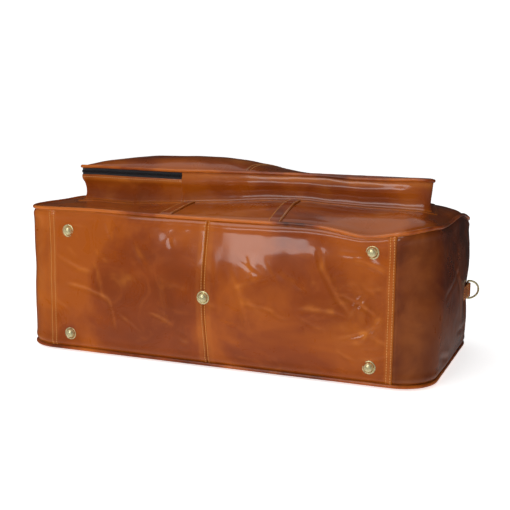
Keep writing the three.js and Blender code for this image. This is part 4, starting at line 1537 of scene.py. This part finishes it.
@dataclass(frozen=True)
class Mouth:
    """The top of the bag: fixed margins, the two folding flaps and the zip between them.

    Fields: where the flaps stop bending along the bag, and where the zip and margins end.
    """

    bent: float = 0.150
    still: float = 0.213
    end: float = 0.241
    tape: float = 12.5 * MM
    thickness: float = 2.2 * MM
    coil: float = 1.8 * MM

    def surface(self, x: Array, z: Array, sunk: Array = 0.0) -> Array:
        """Points of the top at x and height z."""
        x, z, sunk = np.broadcast_arrays(x, z, sunk)
        spot = np.stack([x, np.full_like(x, TOP_Y), z], -1)
        ripple = 0.0005 * FORM.slow.at(spot, 0.05) + 0.0002 * FORM.quick.at(spot, 0.02)
        hinge = np.minimum(np.abs(z - HINGE_Z["front"]), np.abs(z - HINGE_Z["back"]))
        y = TOP_Y + ripple * smooth(hinge, 0.0, 0.012) - sunk
        return np.stack([x, y, z], -1)

    def leather(self, name: str, x0: float, x1: float, z0: float, z1: float,
                folded: Optional[float] = None) -> bpy.types.Object:
        """A rectangle of the top, whose folded edge at height folded is rolled."""
        x = np.linspace(x0, x1, max(8, int(abs(x1 - x0) / (3 * MM))))[:, None]
        z = np.linspace(z0, z1, max(8, int(abs(z1 - z0) / (2 * MM))))[None, :]
        edge = np.full_like(z, 1.0) if folded is None else np.abs(z - folded)
        sunk = 0.0006 * bump(edge, 0, 0.0015)
        points = self.surface(x, z, sunk + 0 * x)
        pull = np.broadcast_to(0.6 * bump(edge, 0, 0.002), points.shape[:2])
        return sheet(name, Grid(points, flip=True, pull=pull), self.thickness,
                     FINISHES[Slot.LEATHER], FINISHES[Slot.LINING])

    def ribbon(self, name: str, x0: float, x1: float, z0: float, z1: float) -> bpy.types.Object:
        """A length of zip tape, set lower than the leather."""
        x = np.linspace(x0, x1, max(8, int(abs(x1 - x0) / (3 * MM))))[:, None]
        z = np.linspace(z0, z1, 7)[None, :]
        return sheet(name, Grid(self.surface(x, z, 0.0012 + 0 * x * z), flip=True), 0.8 * MM,
                     FINISHES[Slot.TAPE])

    def teeth(self, name: str, x0: float, x1: float, side: float) -> bpy.types.Object:
        """One side of the coil over a length of the zip."""
        x = np.linspace(x0, x1, 60)
        points = self.surface(x, np.full_like(x, ZIP_Z + side * 0.0013), 0.0010 + 0 * x)
        return ROWS.make(name, [(points, OUT)], self.coil, 1.25 * MM,
                         3.4 * MM, 1.7 * MM, FINISHES[Slot.TEETH])

    def stitches(self, name: str, x0: float, x1: float, heights: Sequence[float]
                 ) -> bpy.types.Object:
        """Rows of stitches along the bag at some heights."""
        x = np.linspace(x0, x1, 70)
        rows = [(self.surface(x, np.full_like(x, z), -0.0001 + 0 * x), OUT)
                for z in heights]
        return SEAMS.sew(name, rows)

    def flap(self, which: str, way: float) -> None:
        """One side of the mouth: a middle and two ends, each of leather, tape, coil and stitches,
        passed to settle or bend.
        """
        body = f"{which}_mouth"
        hinge, inner = HINGE_Z[which], ZIP_Z + way * self.tape
        low, high = min(hinge, inner), max(hinge, inner)
        tape_low, tape_high = sorted((ZIP_Z + way * 0.0002, ZIP_Z + way * (self.tape + 0.003)))
        lines = [inner + way * 0.0024, inner + way * 0.0062, hinge - way * 0.0024]
        spans = {"middle": (-self.bent, self.bent), "left": (-self.end, -self.bent),
                 "right": (self.bent, self.end)}
        for part, (x0, x1) in spans.items():
            pieces = [
                (self.leather(f"{which}_flap_{part}_leather", x0, x1, low, high, inner),
                 Slot.LEATHER, [f"{which}_mouth_flap"] if part == "middle" else []),
                (self.ribbon(f"{which}_flap_{part}_tape", x0, x1, tape_low, tape_high),
                 Slot.TAPE, [f"{which}_zip_tape"] if part == "middle" else []),
                (self.teeth(f"{which}_flap_{part}_coil", x0, x1, way), Slot.TEETH, []),
                (self.stitches(f"{which}_flap_{part}_stitches", x0, x1, lines), Slot.THREAD, [])]
            for piece, slot, nodes in pieces:
                if part == "middle" and slot is Slot.LEATHER:
                    # The middle leather is passed to bend with the hinge and a point 9 mm in from
                    # it, where its fold would run.
                    bend(piece, ("bag", body), (0.0, TOP_Y, hinge),
                         (0.0, TOP_Y, hinge - way * 9.0 * MM), slot, *nodes)
                elif part == "middle":
                    settle(piece, body, slot, *nodes)
                else:
                    side = -1 if part == "left" else 1
                    bend(piece, ("bag", body), (side * self.still, TOP_Y, hinge),
                         (side * self.bent, TOP_Y, hinge), slot, *nodes)

    def margin(self, which: str) -> None:
        """The fixed strip between a seam of the bag and the flap's fold."""
        hinge = HINGE_Z[which]
        x = np.linspace(-self.end, self.end, 160)[:, None]
        share = np.linspace(0, 1, 12)[None, :]
        x, share = np.broadcast_arrays(x, share)
        seam = (FORM.front_seam(x, np.full_like(x, TOP_Y)) if which == "front"
                else np.full_like(x, FORM.back_seam))
        z = seam + (hinge - seam) * share
        pinch = 0.0013 * bump(share, 0, 0.15)
        points = self.surface(x, z, pinch)
        piece = sheet(f"top_margin_{which}_leather",
                      Grid(points, flip=which == "back", pull=0.4 * bump(share, 1, 0.1)),
                      self.thickness, FINISHES[Slot.LEATHER], FINISHES[Slot.LINING])
        settle(piece, "bag", Slot.LEATHER, f"top_margin_{which}")
        way = 1 if which == "front" else -1
        settle(self.stitches(f"top_margin_{which}_stitches", -self.end + 0.004, self.end - 0.004,
                             [hinge + way * 0.0024]), "bag", Slot.THREAD)

    def tab(self, end: str, side: float) -> None:
        """The leather tab sewn over an end of the zip."""
        middle, half_length, half_width, sewn_in, top = 0.2485, 0.011, 0.016, 0.0022, 0.0905
        x = np.linspace(middle - half_length, middle + half_length, 14)[:, None] * side
        z = np.linspace(ZIP_Z - half_width, ZIP_Z + half_width, 20)[None, :]
        x, z = np.broadcast_arrays(x, z)
        rim = np.minimum(half_length - np.abs(np.abs(x) - middle), half_width - np.abs(z - ZIP_Z))
        y = top - 0.0006 * bump(rim, 0, 0.0012)
        piece = sheet(f"zip_end_tab_{end}_leather",
                      Grid(np.stack([x, y, z], -1), flip=side > 0, pull=0.6 * bump(rim, 0, 0.002)),
                      2.2 * MM, FINISHES[Slot.STRAP])
        settle(piece, "bag", Slot.STRAP, f"zip_end_tab_{end}")
        along, across = 0.0085, half_width - sewn_in
        path = resample(np.array([
            (side * (middle + a * along), top + 0.0001, ZIP_Z + b * across)
            for a, b in ((-1, -1), (1, -1), (1, 1), (-1, 1), (-1, -1))]), 0.4 * MM)
        settle(SEAMS.sew(f"zip_end_tab_{end}_stitches", [(path, OUT)]),
               "bag", Slot.THREAD)

    def build(self) -> None:
        """Builds the top."""
        for which, way in (("front", 1.0), ("back", -1.0)):
            self.margin(which)
            self.flap(which, way)
        for end, side in ENDS:
            self.tab(end, side)


@dataclass(frozen=True)
class ZipSlider:
    """A cast slider with its bridge and hanging pull, laid on a zip.

    Fields: the node names, its middle on the zip's surface, the direction the pull points, the
    zip's outward direction, and sizes.
    """

    nodes: tuple[str, str]
    bodies: tuple[str, str]
    at: tuple[float, float, float]
    toward: tuple[float, float, float]
    out: tuple[float, float, float]
    size: tuple[float, float, float] = (14.0 * MM, 10.0 * MM, 2.6 * MM)
    pin: float = 3.2 * MM
    pull: tuple[float, float, float] = (26.0 * MM, 8.0 * MM, 1.6 * MM)

    def place(self, piece: bpy.types.Object) -> bpy.types.Object:
        """Turns a piece made along X with Z out into the slider's place."""
        along, out = Vector(self.toward), Vector(self.out)
        turn = Matrix((along, out.cross(along), out)).transposed().to_4x4()
        turn.translation = Vector(self.at)
        piece.data.transform(turn)
        return piece

    def build(self) -> None:
        """Builds the slider and its pull."""
        brass = FINISHES[Slot.BRASS]
        length, width, thick = self.size
        shape = [(-length / 2, width * 0.34), (-length * 0.28, width * 0.46),
                 (length * 0.1, width * 0.5), (length * 0.38, width * 0.40),
                 (length / 2, width * 0.22)]
        path = np.array([(x, 0, thick / 2) for x, _ in shape])
        plate = sweep("plate", path, np.array([w for _, w in shape]), thick / 2, (0, 0, 1), brass,
                      sides=24, square=4.5)
        arch = rounded(np.array([(-0.0045, 0, thick), (-0.0040, 0, thick + 0.0026),
                                 (0.0, 0, thick + self.pin), (0.0040, 0, thick + 0.0026),
                                 (0.0045, 0, thick)]), 6)
        bridge = sweep("bridge", arch, 0.0018, 0.0006, (1, 0.001, 0.0), brass, sides=10, square=3)
        slider = self.place(join(self.nodes[0] + "_brass", [plate, bridge]))
        settle(slider, self.bodies[0], Slot.BRASS, self.nodes[0])
        run, wide, flat = self.pull
        z = thick + 0.0016
        eye = np.array([(0.0028 * math.cos(a), 0.0026 * math.sin(a), z)
                        for a in np.linspace(0, 2 * math.pi, 20, endpoint=False)])
        eye[:, 0] += 0.0018
        ring = sweep("eye", eye, 0.0009, 0.0008, (0, 0, 1), brass, closed=True, sides=10)
        outline = [(0.0045, 0.0016), (0.007, 0.0028), (0.012, wide / 2 * 0.86),
                   (run * 0.8, wide / 2), (run * 0.95, wide / 2 * 0.8), (run, wide / 2 * 0.4)]
        tongue = sweep("tongue", np.array([(x, 0, z) for x, _ in outline]),
                       np.array([w for _, w in outline]), flat / 2, (0, 0, 1), brass, sides=24,
                       square=4.0)
        settle(self.place(join(self.nodes[1] + "_brass", [ring, tongue])), self.bodies[1],
               Slot.BRASS, self.nodes[1])


@dataclass(frozen=True)
class Handles:
    """The two leather handles: flat lugs sewn to the straps, rolled into a round grip."""

    radius: float = 7.0 * MM
    thickness: float = 1.15 * MM
    half_width: float = 10.0 * MM
    hinge_y: float = 0.094

    def handle(self, which: str, lug_z: float, grip_z: float) -> None:
        """One handle, with its stitching."""
        reach = ((-85, -5), (-85, 10), (-85, 22), (-85, 50), (-77, 84), (-47, 122), (0, 143))
        half = [(9 + x, y) for x, y in reach]
        corners = half + [(18 - x, y) for x, y in half[-2::-1]]
        plan = resample(rounded(np.array(corners, float) * MM, 8), 2.5 * MM)
        run = plan[:, 1]
        grip = smooth(run, 0.030, 0.052)
        z = lug_z + (grip_z - lug_z) * grip
        path = np.stack([plan[:, 0], run + self.hinge_y, z], -1)
        wide = self.half_width * (1 - grip) + self.radius * grip
        tall = self.thickness * (1 - grip) + self.radius * grip
        tube = sweep(f"{which}_handle_leather", path, wide, tall, (0, 0, 1),
                     FINISHES[Slot.STRAP], sides=28, square=2.3)
        body = f"{which}_handle"
        start, end = (0.009, 0.0885, lug_z), (0.009, 0.106, lug_z)
        bend(tube, ("bag", body), start, end, Slot.STRAP, f"{which}_handle")
        inner = path[run > 0.046]
        _, side, _ = frames_along(inner, UP)
        middle = np.array([0.009, 0.10, 0])
        facing = np.sign(np.sum((middle - inner) * side * (1, 1, 0), 1, keepdims=True))
        rows = [(inner + side * facing * (self.radius * 0.97), side * facing)]
        for x0 in (-0.076, 0.094):
            out = 1.0 if which == "front" else -1.0
            for ends in ([(-7.4, 2), (-7.4, 30)], [(7.4, 2), (7.4, 30)], [(-7.4, 12), (7.4, 30)],
                         [(7.4, 12), (-7.4, 30)], [(-7.4, 30), (7.4, 30)]):
                line = resample(np.array([
                    (x0 + a * MM, self.hinge_y + b * MM, lug_z + out * 1.2 * MM)
                    for a, b in ends]), 1 * MM)
                rows.append((line, np.array([0, 0, out])))
        bend(SEAMS.sew(f"{which}_handle_stitching", rows), ("bag", body), start, end, Slot.THREAD)

    def build(self) -> None:
        """Builds both handles."""
        self.handle("front", 0.18822, 0.19412)
        self.handle("back", 0.0011, 0.0070)


@dataclass(frozen=True)
class EndRings:
    """The brass D-rings at the ends of the bag, and the leather chapes that hold them."""

    wire: float = 1.6 * MM
    half: float = 14.1 * MM
    reach: float = 18.0 * MM
    bar_y: float = 0.029
    bar_z: float = 0.0945
    bar_x: float = 0.3245
    plate_end: float = -0.011
    width: float = 22.0 * MM
    stance: float = math.pi / 3

    def ring(self, end: str, side: float) -> None:
        """One ring of bent wire with a straight bar."""
        turn = np.linspace(0, math.pi, 30)
        out = self.reach * np.sin(turn) ** 0.9
        bow = np.stack([side * (self.bar_x + out * math.sin(self.stance)),
                        self.bar_y + out * math.cos(self.stance),
                        self.bar_z + self.half * np.cos(turn)], -1)
        straight = np.linspace(bow[-1], bow[0], 12)[1:-1]
        path = resample(np.vstack([bow, straight]), 1.2 * MM, closed=True)
        for _ in range(2):
            path = (np.roll(path, 1, 0) + 2 * path + np.roll(path, -1, 0)) / 4
        flat = (math.cos(self.stance), -side * math.sin(self.stance), 0)
        piece = sweep(f"d_ring_{end}_brass", path, self.wire, self.wire, flat,
                      FINISHES[Slot.BRASS], closed=True, sides=16)
        settle(piece, f"d_ring_{end}", Slot.BRASS, f"d_ring_{end}")

    def chape(self, end: str, side: float) -> None:
        """A strip of leather looped round the bar and sewn down."""
        loop = [(self.bar_x + 0.0036 * math.cos(a), self.bar_y + 0.0036 * math.sin(a))
                for a in np.linspace(0, math.pi, 10)]
        outer = [(self.bar_x, self.plate_end), (self.bar_x + 0.0012, self.plate_end + 0.012),
                 (self.bar_x + 0.0018, self.bar_y - 0.010)]
        inner = [(self.bar_x - 0.0028, self.bar_y - 0.012), (self.bar_x - 0.0024, self.plate_end)]
        plan = rounded(np.array(outer + loop + inner), 5)
        path = np.stack([side * plan[:, 0], plan[:, 1], np.full(len(plan), self.bar_z)], -1)
        along = np.gradient(path, axis=0)
        along /= np.linalg.norm(along, axis=1, keepdims=True)
        piece = sweep(f"d_ring_chape_{end}_leather", path, self.width / 2, 0.75 * MM,
                      np.cross(along, (0, 0, 1.0)), FINISHES[Slot.STRAP], sides=20, square=6.0)
        settle(piece, "bag", Slot.STRAP, f"d_ring_chape_{end}")
        corners = [(self.plate_end + 0.0025, -0.0088), (self.bar_y - 0.009, -0.0088),
                   (self.bar_y - 0.009, 0.0088), (self.plate_end + 0.0025, 0.0088),
                   (self.plate_end + 0.0025, -0.0088), (self.bar_y - 0.009, 0.0088)]
        line = resample(np.array(corners), 1 * MM)
        x = np.interp(line[:, 0], [self.plate_end, self.bar_y - 0.010],
                      [self.bar_x + 0.0008, self.bar_x + 0.0026])
        rows = [(np.stack([side * x, line[:, 0], self.bar_z + line[:, 1]], -1),
                 np.array([side, 0, 0]))]
        settle(SEAMS.sew(f"d_ring_chape_{end}_stitches", rows), "bag", Slot.THREAD)

    def build(self) -> None:
        """Builds both ends."""
        for end, side in ENDS:
            self.ring(end, side)
            self.chape(end, side)


@dataclass(frozen=True)
class Feet:
    """The five domed brass studs under the base; their washers inside keep their own shape."""

    flange: float = 9.75 * MM
    dome: float = 6.6 * MM
    height: float = 7.0 * MM
    names: tuple[str, ...] = ("lower_left", "upper_left", "lower_right", "upper_right", "centre")

    def profile(self) -> list[tuple[float, float]]:
        """Radius and height from inside the leather to the tip of the dome."""
        flange, dome, height = self.flange, self.dome, self.height
        shank = 1.9 * MM
        lip = [(0.0, -4.0 * MM), (shank, -4.0 * MM), (shank, -0.6 * MM), (flange * 0.96, -0.6 * MM),
               (flange, -0.1 * MM), (flange, 0.6 * MM), (flange * 0.96, 1.05 * MM),
               (flange * 0.88, 1.35 * MM), (dome + 1.3 * MM, 1.30 * MM),
               (dome + 0.9 * MM, 0.2 * MM), (dome, 0.2 * MM)]
        base = 1.6 * MM
        curve = [(dome * math.cos(a) ** 0.8, base + (height - base) * math.sin(a))
                 for a in np.linspace(0.0, math.pi / 2, 14)[:-1]]
        return lip + curve + [(0.0, height)]

    def build(self) -> None:
        """Turns the five studs."""
        for name, (x, z) in zip(self.names, FOOT_PLACES):
            seam = float(FORM.front_seam(np.array(x), np.array(BASE_Y)))
            share = (z - FORM.back_seam) / (seam - FORM.back_seam)
            seat, _ = FORM.band(np.array([x]), np.array([share]))
            stud = lathe(f"foot_{name}_brass", self.profile(), Vector((x, seat[0, 1] + 0.0002, z)),
                         Vector((0, -1, 0)), FINISHES[Slot.BRASS])
            settle(stud, "bag", Slot.BRASS, f"foot_{name}")


@dataclass(frozen=True)
class Inside:
    """The loose cloth lining, open under the mouth, and the solids that keep their shape."""

    inset: float = 6.0 * MM
    kept: tuple[tuple[str, Slot], ...] = (("base_board", Slot.BOARD),) + tuple(
        (f"foot_washer_{name}", Slot.BRASS) for name in Feet.names)

    def band(self, name: str, s0: float, s1: float, t0: float, t1: float) -> bpy.types.Object:
        """A stretch of the lining's gusset."""
        s = np.linspace(s0, s1, max(6, int(abs(s1 - s0) / (6 * MM))))[:, None]
        t = np.linspace(t0, t1, max(6, int(abs(t1 - t0) * 0.2 / (6 * MM))))[None, :]
        s, t = np.broadcast_arrays(s, t)
        xy, normal = FORM.outline.edge(s)
        z1 = FORM.front_seam(xy[..., 0], xy[..., 1])
        z = FORM.back_seam + (z1 - FORM.back_seam) * t
        spot = raised(xy, z)
        fold = 0.0016 * FORM.slow.at(spot, 0.03) * np.sin(math.pi * t)
        flat = xy - normal * (self.inset + 0.0015 + fold)[..., None]
        z = FORM.back_seam + self.inset + (z1 - FORM.back_seam - 2 * self.inset) * t
        return sheet(name, Grid(raised(flat, z), flip=True), 0.6 * MM, FINISHES[Slot.LINING])

    def side(self, name: str, height: Callable[[Array, Array], Array], flip: bool
             ) -> bpy.types.Object:
        """The lining of the front or back panel."""
        x, y = FORM.outline.rings((-0.17, 0.17, -0.075), 7.0 * MM, 26, self.inset + 0.0010)
        place = np.stack([x, y, height(x, y)], -1)
        place[..., 2] += 0.0012 * FORM.slow.at(place, 0.035)
        return sheet(name, Grid(place, wrap=True, flip=flip), 0.6 * MM, FINISHES[Slot.LINING],
                     spine=True)

    def build(self) -> None:
        """Builds the lining and dresses the kept solids."""
        marks = FORM.outline.marks()
        mouth = marks[-1] - 0.215
        pieces = [self.band("round", -mouth, mouth, 0.0, 1.0),
                  self.band("front_lip", mouth, 2 * marks[-1] - mouth, 0.90, 1.0),
                  self.band("back_lip", mouth, 2 * marks[-1] - mouth, 0.0, 0.075),
                  self.side("front", lambda x, y: np.minimum(
                      FORM.level(y) - 0.0032, FORM.front_face(x, y) - 0.0055), False),
                  self.side("back", lambda x, y: np.full_like(x, 0.0112), True)]
        settle(join("lining_cloth", pieces), "bag", Slot.LINING, "lining")
        for name, slot in self.kept:
            kept = bpy.data.objects[name]
            for place in range(len(kept.material_slots)):
                kept.material_slots[place].material = FINISHES[slot]


# ---------------------------------------------------------------- the studio

@dataclass(frozen=True)
class Studio:
    """A white studio: the floor, broad soft lamps and the camera."""

    camera: tuple[float, float, float] = (0.5651, -1.5192, 0.4134)
    lens: float = 69.88
    pitch: float = 9.906
    yaw: float = 21.213
    roll: float = 0.593

    def lamp(self, name: str, place: Sequence[float], target: Sequence[float],
             size: tuple[float, float], watts: float, gloss: float = 1.0) -> None:
        """A rectangular soft lamp."""
        light = bpy.data.lights.new(name, "AREA")
        light.shape = "RECTANGLE"
        light.size, light.size_y = size
        light.energy = watts
        light.specular_factor = gloss
        holder = bpy.data.objects.new(name, light)
        bpy.context.scene.collection.objects.link(holder)
        holder.location = place
        away = Vector(place) - Vector(target)
        holder.rotation_euler = away.to_track_quat("Z", "Y").to_euler()

    def floor(self) -> None:
        """A plain white floor."""
        material, tree, shader = new_material("white_paper_floor")
        place = node(tree, "ShaderNodeTexCoord").outputs["Object"]
        fibre = node(tree, "ShaderNodeTexNoise", {"Vector": place}, {"Scale": 60.0, "Detail": 3.0})
        tree.links.new(mix(tree, fibre.outputs["Fac"], "#F4F4F4", "#FBFBFB"),
                       shader.inputs["Base Color"])
        shader.inputs["Roughness"].default_value = 0.9
        shader.inputs["Emission Color"].default_value = linear("#FFFFFF")
        shader.inputs["Emission Strength"].default_value = 0.68
        mesh = mesh_from("floor", [(-40, -40, 0), (40, -40, 0), (40, 40, 0), (-40, 40, 0)],
                         [(0, 1, 2, 3)])
        mesh.materials.append(material)
        floor = new_object("floor", mesh, False)
        floor.visible_glossy = False

    def world(self) -> None:
        """White to the camera, and a dimmer fill for everything else."""
        world = bpy.data.worlds.new("studio")
        world.use_nodes = True
        bpy.context.scene.world = world
        tree = world.node_tree
        tree.nodes.clear()
        path = node(tree, "ShaderNodeLightPath")
        place = node(tree, "ShaderNodeTexCoord").outputs["Generated"]
        way = node(tree, "ShaderNodeSeparateXYZ", {0: place})
        sideways = spread(tree, way.outputs["X"], -1.0, 1.0, 1.28, 0.08)
        height = spread(tree, way.outputs["Z"], -1.0, 1.0)
        upward = ramp(tree, height, ((0.0, "#BCBCBC"), (0.15, "#A8A8A8"), (0.29, "#828282"),
                                     (0.41, "#2C2C2C"),
                                     (0.72, "#1C1C1C"), (0.97, "#3C3C3C")))
        fill = sums(tree, "MULTIPLY", sideways, spread(tree, way.outputs["Z"], 0.2, 0.9, 1.0, 0.4))
        gloss = node(tree, "ShaderNodeMix", {
            0: path.outputs["Is Glossy Ray"], 2: fill, 3: upward}).outputs[0]
        seen = node(tree, "ShaderNodeMix", {0: path.outputs["Is Camera Ray"], 2: gloss},
                    {3: 1.3}).outputs[0]
        sky = node(tree, "ShaderNodeBackground", {"Strength": seen},
                   {"Color": linear("#FFFFFF")})
        node(tree, "ShaderNodeOutputWorld", {0: sky.outputs[0]})

    def build(self) -> None:
        """Sets up the floor, lamps and camera."""
        self.floor()
        self.world()
        self.lamp("overhead_bank", (-0.3, 0.5, 1.9), (0, 0, 0.1), (2.2, 1.6), 6, 0.30)
        self.lamp("front_bank", (-0.45, -2.5, 0.80), (0, -0.1, 0.1), (1.0, 0.5), 8, 1.35)
        self.lamp("front_top_bank", (-0.45, -1.6, 2.0), (0, -0.1, 0.1), (1.6, 1.0), 14, 0.25)
        yaw, pitch, roll = (math.radians(a) for a in (self.yaw, self.pitch, self.roll))
        forward = Vector((-math.sin(yaw) * math.cos(pitch), math.cos(yaw) * math.cos(pitch),
                          -math.sin(pitch)))
        level = Vector((math.cos(yaw), math.sin(yaw), 0))
        above = level.cross(forward)
        right = level * math.cos(roll) + above * math.sin(roll)
        up = above * math.cos(roll) - level * math.sin(roll)
        lens = bpy.data.cameras.new("camera")
        lens.lens, lens.sensor_width = self.lens, 36
        camera = bpy.data.objects.new("camera", lens)
        bpy.context.scene.collection.objects.link(camera)
        turn = Matrix((right, up, -forward)).transposed().to_4x4()
        turn.translation = Vector(self.camera)
        camera.matrix_world = turn
        bpy.context.scene.camera = camera
        bpy.context.scene.view_settings.view_transform = "Standard"


def main() -> None:
    """Builds the sub-assemblies in order."""
    logging.basicConfig(level=logging.INFO, format="%(message)s")
    Studio().build()
    Gusset().build()
    Panels().build()
    Straps().build()
    Pocket().build()
    Mouth().build()
    ZipSlider(("main_slider", "main_zip_pull"), ("main_slider", "main_zip_pull"),
              (-0.228, 0.0883, ZIP_Z), (-1, 0, 0), (0, 1, 0)).build()
    ZipSlider(("pocket_slider", "pocket_zip_pull"), ("pocket_slider", "pocket_zip_pull"),
              (0.232, 0.0253, 0.25642), (1, 0, 0), (0, 1, 0)).build()
    Handles().build()
    EndRings().build()
    Feet().build()
    Inside().build()


if __name__ == "__main__":
    main()
